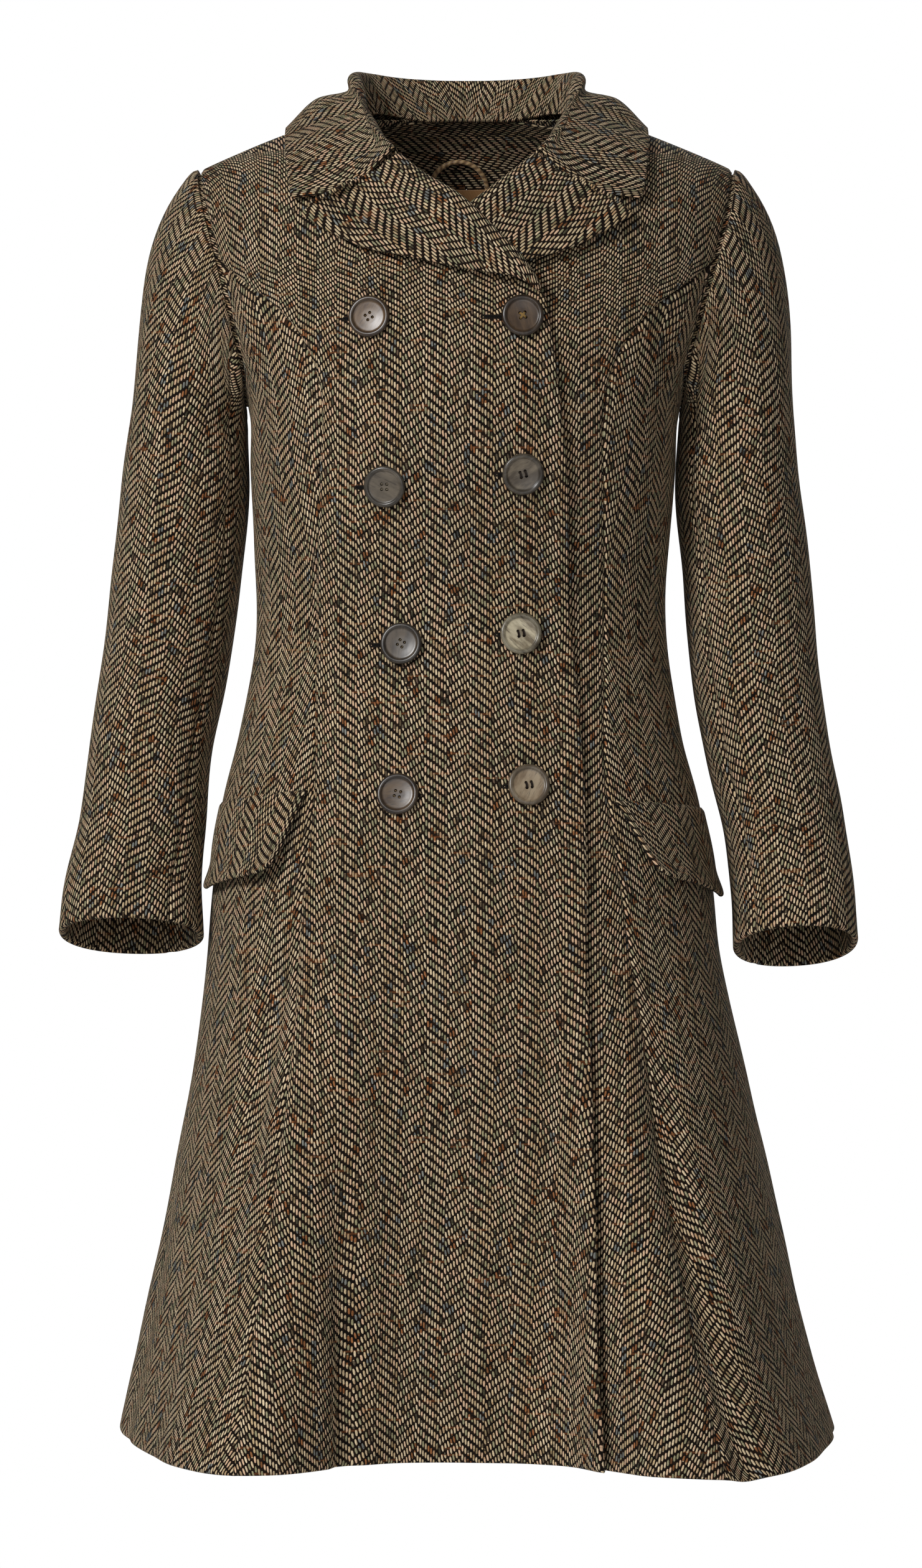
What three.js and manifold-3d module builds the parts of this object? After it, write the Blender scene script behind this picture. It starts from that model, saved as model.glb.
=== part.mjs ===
// A double-breasted tweed coat, filled out as if worn: princess-seamed fronts, a two-piece back, two-piece
// sleeves, notched lapels, a turned-down collar, slanted pocket flaps and eight sewn-through buttons.
// Millimetres, +Z up, -Y to the front, +X to the wearer's left. The origin is the middle of the neck opening,
// level with the points where the shoulder seams meet the collar. "right" and "left" are the wearer's.
import * as THREE from "three";
import Module from "manifold-3d";

// Driving dimensions
const HEM_Z = -924; // hem, level all round
const UNDERARM_Z = -205; // top of the side seams
const BREAK_Z = -142; // where the lapels start to roll back
const CLOTH = 2.6; // tweed, one wall
const FOLDED = 3.2; // collar and lapels, two layers of tweed
const FACING_CLOTH = 1.6; // back neck facing
const LINING_CLOTH = 1; // lining satin
const SEAM_GAP = 0.3; // between two pieces at a seam
const LAYER_GAP = 0.5; // between two pieces that lie on each other
const OVERLAP_GAP = 1.5; // between the two fronts where they overlap
const LIFT_RAMP = 64; // the right front rises off the body over this width beside the left front's edge
const SHOULDER_Y = 4; // shoulder seam, behind the origin
const NECK_CENTRE_X = 4; // the neck sits a little towards the wearer's left
const NECK_HALF_WIDTH = 78;
const NECK_POINT_Z = 4; // height of the shoulder seam at the collar
const SHOULDER_SLOPE = 0.3;
const SHOULDER_DROOP = 0.00075; // the slope steepens towards the sleeve
const NECK_ROUNDING = 20; // softens the ridge of the shoulder line behind the neck
const SHOULDER_ARCH = { front: 120, back: 90 }; // height over which the chest and back round over the shoulder
const SHOULDER_TIP = 110; // from the collar to the sleeve, measured across

// The body, ring by ring: half of its width, its middle, how far the front and the back stand out, and how
// square the ring is (2 is an ellipse). Above the underarm the ring runs on under the sleeve.
const BODY = [
  { z: -924, halfWidth: 251, centre: 7, front: 205, back: 186, square: 2.6 },
  { z: -850, halfWidth: 232, centre: 5.5, front: 190, back: 172, square: 2.55 },
  { z: -750, halfWidth: 210.5, centre: 6, front: 173, back: 156, square: 2.5 },
  { z: -650, halfWidth: 190.5, centre: 4.5, front: 158, back: 143, square: 2.45 },
  { z: -594, halfWidth: 181, centre: 1.7, front: 150, back: 136, square: 2.4 },
  { z: -540, halfWidth: 176, centre: 1, front: 144, back: 130, square: 2.4 },
  { z: -488, halfWidth: 169, centre: 0, front: 136, back: 120, square: 2.4 },
  { z: -436, halfWidth: 156, centre: -0.6, front: 125, back: 105, square: 2.35 },
  { z: -383, halfWidth: 146.5, centre: 0, front: 116, back: 91, square: 2.3 },
  { z: -345, halfWidth: 144, centre: 0, front: 114, back: 87, square: 2.3 },
  { z: -300, halfWidth: 146.5, centre: 0.5, front: 122, back: 91, square: 2.35 },
  { z: -250, halfWidth: 149.5, centre: 1, front: 133, back: 98, square: 2.4 },
  { z: -205, halfWidth: 152, centre: 2, front: 136, back: 103, square: 2.45 },
  { z: -150, halfWidth: 172, centre: 3, front: 131, back: 106, square: 2.5 },
  { z: -100, halfWidth: 188, centre: 4, front: 124, back: 105, square: 2.5 },
  { z: -50, halfWidth: 203, centre: 4, front: 120, back: 101, square: 2.5 },
  { z: 30, halfWidth: 215, centre: 4, front: 116, back: 97, square: 2.5 },
];

// The flare folds at the hem: reach is the distance of the hem from the middle at each bearing (0 is the
// centre front, 90 the wearer's left side). They grow from FOLD_TOP down.
const FOLD_TOP = -500;
const FOLD_GROWTH = 1.7;
const HEM_FOLDS = [
  { bearing: -180, reach: 178 },
  { bearing: -164, reach: 183 },
  { bearing: -150, reach: 222 },
  { bearing: -138, reach: 226 },
  { bearing: -124, reach: 212 },
  { bearing: -106, reach: 246 },
  { bearing: -90, reach: 248 },
  { bearing: -72, reach: 249 },
  { bearing: -57, reach: 258 },
  { bearing: -47, reach: 271 },
  { bearing: -36, reach: 274 },
  { bearing: -29, reach: 250 },
  { bearing: -22, reach: 196 },
  { bearing: -14, reach: 173 },
  { bearing: 0, reach: 169 },
  { bearing: 13, reach: 181 },
  { bearing: 21, reach: 203 },
  { bearing: 27, reach: 254 },
  { bearing: 35, reach: 290 },
  { bearing: 43, reach: 297 },
  { bearing: 53, reach: 284 },
  { bearing: 66, reach: 266 },
  { bearing: 90, reach: 254 },
  { bearing: 108, reach: 242 },
  { bearing: 124, reach: 214 },
  { bearing: 139, reach: 230 },
  { bearing: 152, reach: 216 },
  { bearing: 166, reach: 180 },
  { bearing: 180, reach: 178 },
];

// Seams as they run up a panel. across is measured from the middle of the ring towards the side.
const PRINCESS_SEAM = [
  { z: -924, bearing: 35 },
  { z: -800, bearing: 37 },
  { z: -654, bearing: 40 },
  { z: -560, bearing: 41 },
  { z: -475, bearing: 41 },
  { z: -400, bearing: 46 },
  { z: -345, bearing: 48 },
  { z: -277, bearing: 43 },
  { z: -215, bearing: 40 },
  { z: -165, bearing: 46 },
];
const ARMHOLE_FRONT = [
  { z: -181, across: 154 },
  { z: -150, across: 161 },
  { z: -108, across: 172 }, // the princess seam ends here
  { z: -75, across: 181 },
];
const ARMHOLE_BACK = [
  { z: -182, across: 158 },
  { z: -150, across: 165 },
  { z: -110, across: 174 },
  { z: -75, across: 182 },
];
const PRINCESS_TOP = 2; // index in ARMHOLE_FRONT of the princess seam's end
const BACK_NECK_Z = 10;

// The closing edge of the right front, from the hem up to the break of the lapel, and the hidden edge of the
// left front under it.
const FRONT_EDGE = [
  { z: -924, x: 100.5 },
  { z: -810, x: 95 },
  { z: -655, x: 87 },
  { z: -524, x: 83.5 },
  { z: -418, x: 78.5 },
  { z: -332, x: 72 },
  { z: -216, x: 66.5 },
  { z: BREAK_Z, x: 57 },
];
const UNDERLAP_EDGE = [
  { z: -924, x: -46 },
  { z: -655, x: -58 },
  { z: -345, x: -62 },
  { z: BREAK_Z, x: -49 },
];
// The roll line of the right lapel, from the break to the gorge; the left one mirrors it.
const ROLL_LINE = [
  { x: 57, z: BREAK_Z },
  { x: 43, z: -120 },
  { x: 25, z: -99 },
  { x: 6, z: -80.5 },
  { x: -12, z: -66 },
  { x: -27, z: -54 },
  { x: -42.6, z: -40 },
];
// The right lapel's outer edge, from the break round the tip to the notch.
const LAPEL_EDGE = [
  { x: 54, z: -143 },
  { x: 36, z: -133 },
  { x: 7, z: -127.5 },
  { x: -33, z: -118.5 },
  { x: -68, z: -108 },
  { x: -104, z: -87.5 },
  { x: -104.5, z: -84 },
  { x: -72, z: -68 },
];
const LAPEL_EDGE_STOPS = [0, 0.18, 0.36, 0.55, 0.72, 0.88, 0.9, 1]; // share of the roll line beside each
const LAPEL_END = 0.978; // just short of the gorge seam
const LEFT_LAPEL_START = 0.36; // the rest of the left lapel would lie under the right front

const ROLL_SETBACK = 4; // the front stops this far short of the roll line, across and down
const GORGE_SETBACK = 5; // and this far at the gorge

// Collar, from the gorge (0) round to the centre back (1), measured across from the middle of the neck: the
// top of its roll, a point half way over the fall, and its outer edge.
const COLLAR = [
  { at: 0, roll: 48, rollY: -98.5, rollZ: -36.2, half: 78.2, halfY: -109, halfZ: -62.8, edge: 118, edgeY: -97.5, edgeZ: -72 },
  { at: 0.12, roll: 60, rollY: -81, rollZ: -21.5, half: 91, halfY: -89.5, halfZ: -40, edge: 122, edgeY: -84, edgeZ: -53 },
  { at: 0.28, roll: 69.5, rollY: -49, rollZ: 0, half: 99, halfY: -52, halfZ: -14, edge: 126.5, edgeY: -52, edgeZ: -25 },
  { at: 0.42, roll: 77.6, rollY: -18, rollZ: 24, half: 105, halfY: -22, halfZ: 9, edge: 128, edgeY: -22, edgeZ: -11 },
  { at: 0.5, roll: 80, rollY: 8, rollZ: 33.5, half: 106, halfY: 10, halfZ: 14, edge: 127.5, edgeY: 12, edgeZ: -8 },
  { at: 0.64, roll: 72, rollY: 38, rollZ: 37, half: 94, halfY: 47, halfZ: 13, edge: 114, edgeY: 49, edgeZ: -12 },
  { at: 0.78, roll: 52, rollY: 56, rollZ: 36.5, half: 65, halfY: 70, halfZ: 10, edge: 78, edgeY: 76, edgeZ: -17 },
  { at: 0.9, roll: 24, rollY: 64, rollZ: 36, half: 30, halfY: 79, halfZ: 8, edge: 36, edgeY: 88, edgeZ: -20 },
  { at: 1, roll: 0, rollY: 66, rollZ: 36, half: 0, halfY: 81, halfZ: 8, edge: 0, edgeY: 91, edgeZ: -21 },
];
const SHOULDER_STOP = 0.46; // where the collar passes the shoulder seam
const ROLL_RADIUS = { collar: 5, lapel: 4.6, start: 3.6, pressed: 3.5 };
const LAPEL_HEIGHT = FOLDED + LAYER_GAP + 0.6; // the lapel's face above the cloth it lies on, near its edge
const ROLL_SOFTNESS = 34; // the lapel comes down to that height this far from its roll
const STAND_GAP = { up: 1.3, inwards: 1.6 }; // between the neck seam and the collar's stand

// Sleeves, station by station: middle of the tube and half of its width and depth.
const SLEEVES = {
  right: [
    { z: -218, x: -192.5, y: 6, halfWidth: 39.5, halfDepth: 57 },
    { z: -262, x: -195, y: 8, halfWidth: 42.5, halfDepth: 57 },
    { z: -320, x: -201, y: 8, halfWidth: 43, halfDepth: 56 },
    { z: -385, x: -208.5, y: 4, halfWidth: 42, halfDepth: 54 },
    { z: -440, x: -218, y: -4, halfWidth: 40.5, halfDepth: 51 },
    { z: -500, x: -223.5, y: -17, halfWidth: 42, halfDepth: 46 },
    { z: -545, x: -229, y: -31, halfWidth: 45.5, halfDepth: 41 },
    { z: -577, x: -229.5, y: -43, halfWidth: 48, halfDepth: 39 },
  ],
  left: [
    { z: -218, x: 195.5, y: 6, halfWidth: 38.5, halfDepth: 57 },
    { z: -262, x: 196, y: 8, halfWidth: 41.5, halfDepth: 57 },
    { z: -320, x: 202, y: 8, halfWidth: 42.5, halfDepth: 56 },
    { z: -385, x: 207.5, y: 4, halfWidth: 42.5, halfDepth: 54 },
    { z: -440, x: 215, y: -4, halfWidth: 41.5, halfDepth: 52 },
    { z: -500, x: 226.5, y: -17, halfWidth: 40, halfDepth: 50 },
    { z: -545, x: 231.5, y: -31, halfWidth: 40.5, halfDepth: 47 },
    { z: -584, x: 233, y: -45, halfWidth: 41, halfDepth: 46 },
  ],
};
const SLEEVE_SEAM = { front: 130, back: 235 }; // bearings round the sleeve, 0 is its outer side, 90 its front
const SLEEVE_SQUARE = 2.2;

const BUTTON = { radius: 14.2, thickness: 4.4, rim: 2.2, dish: 1.1, hole: 1.05, holeSpacing: 2.6, sides: 16 };
const BUTTON_GAP = 0.4; // between a button's back and the cloth
const BUTTONS = [
  { name: "button_right_1", x: -61, z: -155.5, turn: 20 },
  { name: "button_left_1", x: 41, z: -155.5, turn: 14 },
  { name: "button_right_2", x: -50.5, z: -268.5, turn: -14 },
  { name: "button_left_2", x: 41, z: -260.5, turn: 24 },
  { name: "button_right_3", x: -39.5, z: -376.5, turn: 52 },
  { name: "button_left_3", x: 39.5, z: -369.5, turn: 18 },
  { name: "button_right_4", x: -42, z: -479, turn: -20 },
  { name: "button_left_4", x: 45, z: -473, turn: 16 },
];

// Pocket flaps: corners on the side front, seen from the front corner at the princess seam.
const FLAPS = {
  right: { side: -1, topFront: [42.5, -475], topBack: [78, -484], lowBack: [80, -546], lowFront: [47.5, -532] },
  left: { side: 1, topFront: [42.5, -482], topBack: [80, -488], lowBack: [82, -552], lowFront: [48.5, -535] },
};
const FLAP_LIFT = { edge: 10, all: 1.2 }; // how far its lower edge stands off the cloth: the front corner, the rest
const FLAP_CORNER = 0.1; // share of the flap rounded off at its lower corners
const FLAP_ROWS = 5;
const FLAP_GAP = 0.6; // under the sewn top edge

const FACING_DEPTH = 46; // below the neck seam at the centre back
const INSIDE_REACH = 63; // half the width of the facing and the lining
const LINING_END_Z = -168;
const LOOP = { centre: -6, halfWidth: 21.5, rise: 21, radius: 1.8 };

// Mesh rows and columns
const ROWS_BELOW = 20; // hem to the top of the princess seam
const ROWS_ABOVE = 11; // from there to the shoulder seam
const COLUMNS = { front: 12, side: 6, back: 10, collar: 24, upperSleeve: 14, underSleeve: 6, flap: 6, inside: 10 };
const FOLD_STEPS = { stand: 3, roll: 6, fall: 7, lapel: 7 };
const SLEEVE_ROWS = { cap: 7, tube: 10 };
const LAPEL_ROWS = 16;

const COLOURS = { tweed: 0x6b5c49, facing: 0x5f5140, lining: 0x8a6a44, loop: 0x9a7a56, button: 0x5a4a3c };
const ROUGH = { cloth: 0.95, lining: 0.5, button: 0.3 };

const degrees = THREE.MathUtils.degToRad;
const vector = (x, y, z) => new THREE.Vector3(x, y, z);
const mix = THREE.MathUtils.lerp;
function smooth(from, to, value) {
  const t = THREE.MathUtils.clamp((value - from) / (to - from), 0, 1);
  return t * t * (3 - 2 * t);
}

// A smooth curve through one column of a table, read at any value of another.
function read(table, by, value, column) {
  const rising = table[0][by] < table[table.length - 1][by];
  const rows = rising ? table : [...table].reverse();
  const last = rows.length - 1;
  if (value <= rows[0][by]) return rows[0][column];
  if (value >= rows[last][by]) return rows[last][column];
  const k = rows.findIndex((row, i) => i < last && value <= rows[i + 1][by]);
  const slope = (i) => {
    const a = rows[Math.max(i - 1, 0)];
    const b = rows[Math.min(i + 1, last)];
    return (b[column] - a[column]) / (b[by] - a[by]);
  };
  const width = rows[k + 1][by] - rows[k][by];
  const t = (value - rows[k][by]) / width;
  const a = rows[k][column];
  const b = rows[k + 1][column];
  const ta = slope(k) * width;
  const tb = slope(k + 1) * width;
  return a + t * (ta + t * (3 * (b - a) - 2 * ta - tb + t * (2 * (a - b) + ta + tb)));
}

// Height of the shoulder seam at a distance from the middle of the neck.
function shoulderZ(across) {
  const soft = Math.hypot(across, NECK_ROUNDING) - Math.hypot(NECK_HALF_WIDTH, NECK_ROUNDING);
  return NECK_POINT_Z - SHOULDER_SLOPE * soft - SHOULDER_DROOP * Math.max(0, soft) ** 2;
}

// The body ring's reach at a bearing, with the flare folds of the skirt.
function ringReach(bearing, z) {
  const turned = THREE.MathUtils.euclideanModulo(bearing + 180, 360) - 180;
  const s = Math.sin(degrees(turned));
  const c = Math.cos(degrees(turned));
  const plain = (level) => {
    const square = read(BODY, "z", level, "square");
    const side = Math.abs(s) / read(BODY, "z", level, "halfWidth");
    const depth = Math.abs(c) / read(BODY, "z", level, c > 0 ? "front" : "back");
    return (side ** square + depth ** square) ** (-1 / square);
  };
  const share = THREE.MathUtils.clamp((FOLD_TOP - z) / (FOLD_TOP - HEM_Z), 0, 1) ** FOLD_GROWTH;
  if (share === 0) return plain(z);
  return plain(z) + share * (read(HEM_FOLDS, "bearing", turned, "reach") - plain(HEM_Z));
}

// The outside of the body cloth at a bearing and a height. Near the shoulder the ring closes over to the seam.
function bodyPoint(bearing, z) {
  const reach = ringReach(bearing, z);
  const across = reach * Math.sin(degrees(bearing));
  const forward = -reach * Math.cos(degrees(bearing));
  const arch = forward < 0 ? SHOULDER_ARCH.front : SHOULDER_ARCH.back;
  const below = THREE.MathUtils.clamp((shoulderZ(across) - z) / arch, 0, 1);
  const open = Math.sqrt(1 - (1 - below) ** 2);
  const lift = Math.max(0, z - shoulderZ(across));
  return vector(read(BODY, "z", z, "centre") + across, mix(SHOULDER_Y, forward, open), z - lift);
}

function bodyNormal(bearing, z) {
  const step = 0.5;
  const round = bodyPoint(bearing + step, z).sub(bodyPoint(bearing - step, z));
  const top = shoulderZ(bodyPoint(bearing, z).x - read(BODY, "z", z, "centre"));
  if (z > top - 0.6) return vector(Math.sign(Math.sin(degrees(bearing))) * 0.3, 0, 1).normalize();
  const up = bodyPoint(bearing, Math.min(z + step, top - 0.05)).sub(bodyPoint(bearing, z - step));
  return round.cross(up).normalize();
}

// The bearing of a point on the front (or back) ring that is this far across.
function bearingAt(across, z, back = false) {
  const square = read(BODY, "z", z, "square");
  const share = Math.min(1, Math.abs(across) / read(BODY, "z", z, "halfWidth"));
  const depth = read(BODY, "z", z, back ? "back" : "front") * (1 - share ** square) ** (1 / square);
  let bearing = THREE.MathUtils.radToDeg(Math.atan2(across, back ? -depth : depth));
  for (let i = 0; i < 12 && z < FOLD_TOP; i++) {
    const reach = ringReach(bearing, z);
    const sine = THREE.MathUtils.clamp(across / reach, -1, 1);
    const found = THREE.MathUtils.radToDeg(Math.asin(sine));
    bearing = mix(bearing, back ? Math.sign(across || 1) * 180 - found : found, 0.7);
  }
  return bearing;
}

const atX = (x, z) => ({ bearing: bearingAt(x - read(BODY, "z", z, "centre"), z), z });

// A seam as a curve of bearing and height, walked evenly from 0 to 1.
const MM_PER_DEGREE = 2.6;
function seam(points) {
  const curve = new THREE.CatmullRomCurve3(
    points.map((p) => vector(p.bearing * MM_PER_DEGREE, p.z, 0)),
    false,
    "centripetal",
  );
  return (share) => {
    const p = curve.getPointAt(THREE.MathUtils.clamp(share, 0, 1));
    return { bearing: p.x / MM_PER_DEGREE, z: p.y };
  };
}

const mirrored = (curve) => (share) => {
  const p = curve(share);
  return { bearing: -p.bearing, z: p.z };
};

// Two curves in one, the second from the row where the first ends; its rows close up towards the shoulder.
function joined(lower, upper) {
  const turn = ROWS_BELOW / (ROWS_BELOW + ROWS_ABOVE);
  return (v) => (v <= turn ? lower(v / turn) : upper(1 - ((1 - v) / (1 - turn)) ** 1.7));
}

function shoulderSeam(from, to, back) {
  return (s) => {
    const across = mix(from, to, s);
    const z = shoulderZ(across);
    return { bearing: bearingAt(across, z, back), z };
  };
}

// The seams of the wearer's left half; the right half mirrors them.
const tip = NECK_HALF_WIDTH + SHOULDER_TIP;
const shoulderTip = (back) => ({ bearing: bearingAt(tip, shoulderZ(tip), back), z: shoulderZ(tip) });
const onArmhole = (back) => (row) => ({ bearing: bearingAt(row.across, row.z, back), z: row.z });
const underarm = { bearing: 90, z: UNDERARM_Z };
const frontHole = ARMHOLE_FRONT.map(onArmhole(false));
const backHole = ARMHOLE_BACK.map(onArmhole(true));
const princessSeam = seam([...PRINCESS_SEAM, frontHole[PRINCESS_TOP]]);
const armholeBelow = seam([underarm, ...frontHole.slice(0, PRINCESS_TOP + 1)]);
const armholeAbove = seam([...frontHole.slice(PRINCESS_TOP), shoulderTip(false)]);
const armholeBack = seam([underarm, ...backHole, shoulderTip(true)]);
const sideSeam = seam([{ bearing: 90, z: HEM_Z }, { bearing: 90, z: -600 }, underarm]);
const backSeam = seam([{ bearing: 180, z: HEM_Z }, { bearing: 180, z: -400 }, { bearing: 180, z: BACK_NECK_Z }]);
const backNeckSeam = (across) => {
  const z = mix(BACK_NECK_Z, NECK_POINT_Z, smooth(0, NECK_HALF_WIDTH, across));
  return { bearing: bearingAt(Math.max(across, 0.01), z, true), z };
};

const mirrorX = (x) => 2 * NECK_CENTRE_X - x;
const frontEdge = seam(FRONT_EDGE.map((p) => atX(p.x, p.z)));
const underlapEdge = seam(UNDERLAP_EDGE.map((p) => atX(p.x, p.z)));
const neckPoint = (side) => ({
  bearing: bearingAt(side * NECK_HALF_WIDTH, shoulderZ(NECK_HALF_WIDTH)),
  z: shoulderZ(NECK_HALF_WIDTH),
});
const NECKLINE_BEND = { x: -63, z: -19 }; // between the gorge and the shoulder seam
// The front's neck edge: the roll line set back, then on to the shoulder seam.
function neckEdge(flip) {
  const last = ROLL_LINE.length - 1;
  const setback = (i) => (i === 0 ? 0 : i === last ? GORGE_SETBACK : ROLL_SETBACK);
  const points = ROLL_LINE.map((p, i) => ({ x: p.x - setback(i), z: p.z - setback(i) }));
  const spots = [...points, NECKLINE_BEND].map((p) => atX(flip ? mirrorX(p.x) : p.x, p.z));
  return seam([...spots, neckPoint(flip ? 1 : -1)]);
}
const rightNeckEdge = neckEdge(false);
const leftNeckEdge = neckEdge(true);

// How far the right front is lifted off the body by the left front and its lapel underneath.
function rightLift(p) {
  const at = bodyPoint(p.bearing, p.z);
  const edge = p.z < BREAK_Z ? read(UNDERLAP_EDGE, "z", p.z, "x") : mirrorX(read(ROLL_LINE, "z", p.z, "x"));
  const overFront = smooth(edge - LIFT_RAMP, edge - 4, at.x);
  const overLapel = overFront * smooth(-144, -128, p.z);
  return overFront * (CLOTH + OVERLAP_GAP) + overLapel * (LAPEL_HEIGHT + 1.2);
}

// A point at x and z on the front, this high above the body.
function onFront(x, z, height) {
  const p = atX(x, z);
  return bodyPoint(p.bearing, p.z).addScaledVector(bodyNormal(p.bearing, p.z), height);
}

// Moves a point to a height above the body, or only out to it when it lies lower.
function heightOverBody(point, height, onlyOut) {
  const field = (p) => {
    const centre = read(BODY, "z", p.z, "centre");
    const reach = ringReachAt(p.x - centre, Math.min(p.z, 20), p.y > SHOULDER_Y);
    const arch = p.y < SHOULDER_Y ? SHOULDER_ARCH.front : SHOULDER_ARCH.back;
    const closed = Math.max(0, 1 - (shoulderZ(p.x - centre) - p.z) / arch);
    return Math.hypot(closed, (p.y - SHOULDER_Y) / (reach - SHOULDER_Y));
  };
  const moved = point.clone();
  for (let i = 0; i < 6; i++) {
    const step = 0.5;
    const slope = ["x", "y", "z"].map((axis) => {
      const a = moved.clone();
      const b = moved.clone();
      a[axis] += step;
      b[axis] -= step;
      return (field(a) - field(b)) / (2 * step);
    });
    const away = vector(...slope);
    const short = height - (field(moved) - 1) / away.length();
    if (onlyOut && short < 0) return moved;
    moved.addScaledVector(away.normalize(), short);
  }
  return moved;
}

// Where the ring stands in y at this distance across.
function ringReachAt(across, z, back) {
  const bearing = bearingAt(across, z, back);
  return -ringReach(bearing, z) * Math.cos(degrees(bearing));
}

// A patch between four seams: up the left and right, along the bottom and top.
function patch(left, right, bottom, top) {
  const corner = [bottom(0), bottom(1), top(0), top(1)];
  return (s, v) => {
    const mixed = {};
    for (const key of ["bearing", "z"]) {
      const sides = mix(left(v)[key], right(v)[key], s) + mix(bottom(s)[key], top(s)[key], v);
      const low = mix(corner[0][key], corner[1][key], s);
      const high = mix(corner[2][key], corner[3][key], s);
      mixed[key] = sides - mix(low, high, v);
    }
    return mixed;
  };
}

const straight = (a, b) => (s) => ({ bearing: mix(a.bearing, b.bearing, s), z: mix(a.z, b.z, s) });

// A closed wall from its outer and inner grids of points.
function wall(outer, inner) {
  const rows = outer.length;
  const columns = outer[0].length;
  const positions = [...outer.flat(), ...inner.flat()].flatMap((p) => [p.x, p.y, p.z]);
  const at = (face, i, j) => face * rows * columns + i * columns + j;
  const index = [];
  const quad = (a, b, c, d) => index.push(a, b, c, a, c, d);
  for (let i = 0; i < rows - 1; i++)
    for (let j = 0; j < columns - 1; j++) {
      quad(at(0, i, j), at(0, i, j + 1), at(0, i + 1, j + 1), at(0, i + 1, j));
      quad(at(1, i, j), at(1, i + 1, j), at(1, i + 1, j + 1), at(1, i, j + 1));
    }
  for (let i = 0; i < rows - 1; i++) {
    quad(at(0, i, 0), at(0, i + 1, 0), at(1, i + 1, 0), at(1, i, 0));
    quad(at(0, i, columns - 1), at(1, i, columns - 1), at(1, i + 1, columns - 1), at(0, i + 1, columns - 1));
  }
  for (let j = 0; j < columns - 1; j++) {
    quad(at(0, 0, j), at(1, 0, j), at(1, 0, j + 1), at(0, 0, j + 1));
    quad(at(0, rows - 1, j), at(0, rows - 1, j + 1), at(1, rows - 1, j + 1), at(1, rows - 1, j));
  }
  const geometry = new THREE.BufferGeometry();
  geometry.setAttribute("position", new THREE.Float32BufferAttribute(positions, 3));
  geometry.setIndex(index);
  return facingOut(geometry);
}

// Turns the faces round if they point inwards.
function facingOut(geometry) {
  const p = geometry.attributes.position;
  const i = geometry.index.array;
  let volume = 0;
  for (let k = 0; k < i.length; k += 3) {
    const [a, b, c] = [0, 1, 2].map((n) => new THREE.Vector3().fromBufferAttribute(p, i[k + n]));
    volume += a.dot(b.cross(c));
  }
  if (volume < 0) for (let k = 0; k < i.length; k += 3) [i[k], i[k + 1]] = [i[k + 1], i[k]];
  geometry.computeVertexNormals();
  return geometry;
}

// Draws a grid's outer rows and columns in a little, so that it stays clear of the next piece at the seam.
function inset(grid, gap = SEAM_GAP / 2) {
  const last = grid.length - 1;
  const end = grid[0].length - 1;
  const pull = (p, towards) => p.add(towards.clone().sub(p).setLength(gap));
  for (const row of grid) {
    pull(row[0], row[1]);
    pull(row[end], row[end - 1]);
  }
  for (let j = 0; j <= end; j++) {
    pull(grid[0][j], grid[1][j]);
    pull(grid[last][j], grid[last - 1][j]);
  }
  return grid;
}

const grid = (rows, columns, make) =>
  Array.from({ length: rows + 1 }, (_, i) =>
    Array.from({ length: columns + 1 }, (_, j) => make(j / columns, i / rows, i, j)),
  );

const materials = {
  tweed: new THREE.MeshStandardMaterial({ color: COLOURS.tweed, roughness: ROUGH.cloth, metalness: 0 }),
  facing: new THREE.MeshStandardMaterial({ color: COLOURS.facing, roughness: ROUGH.cloth, metalness: 0 }),
  lining: new THREE.MeshStandardMaterial({ color: COLOURS.lining, roughness: ROUGH.lining, metalness: 0 }),
  loop: new THREE.MeshStandardMaterial({ color: COLOURS.loop, roughness: ROUGH.lining, metalness: 0 }),
  button: new THREE.MeshStandardMaterial({ color: COLOURS.button, roughness: ROUGH.button, metalness: 0 }),
};

const coat = new THREE.Group();
function add(name, geometry, material) {
  const mesh = new THREE.Mesh(geometry, material);
  mesh.name = name;
  coat.add(mesh);
  return mesh;
}

// A panel of the body: the patch laid on the body's surface, moved out by lift, and its wall inside that.
function bodyPanel(rows, columns, place, { lift = () => 0, thickness = CLOTH } = {}) {
  const spots = grid(rows, columns, place);
  const face = (depth) =>
    spots.map((row) =>
      row.map((p) => bodyPoint(p.bearing, p.z).addScaledVector(bodyNormal(p.bearing, p.z), lift(p) - depth)),
    );
  return wall(inset(face(0)), inset(face(thickness)));
}

function makeFronts() {
  const rows = ROWS_BELOW + ROWS_ABOVE;
  const side = joined(princessSeam, armholeAbove);
  const right = joined(frontEdge, rightNeckEdge);
  const left = joined(underlapEdge, leftNeckEdge);
  const rightSide = mirrored(side);
  const rightPlace = patch(
    rightSide,
    right,
    straight(rightSide(0), right(0)),
    shoulderSeam(-tip, -NECK_HALF_WIDTH, false),
  );
  const leftPlace = patch(side, left, straight(side(0), left(0)), shoulderSeam(tip, NECK_HALF_WIDTH, false));
  add("front_right", bodyPanel(rows, COLUMNS.front, rightPlace, { lift: rightLift }), materials.tweed);
  add("front_left", bodyPanel(rows, COLUMNS.front, leftPlace), materials.tweed);
}

function makeSideFronts() {
  for (const [name, turn] of [
    ["side_front_right", mirrored],
    ["side_front_left", (curve) => curve],
  ]) {
    const front = turn(princessSeam);
    const side = turn(sideSeam);
    const top = turn((s) => armholeBelow(1 - s));
    const place = patch(front, side, straight(front(0), side(0)), top);
    add(name, bodyPanel(ROWS_BELOW, COLUMNS.side, place), materials.tweed);
  }
}

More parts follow.
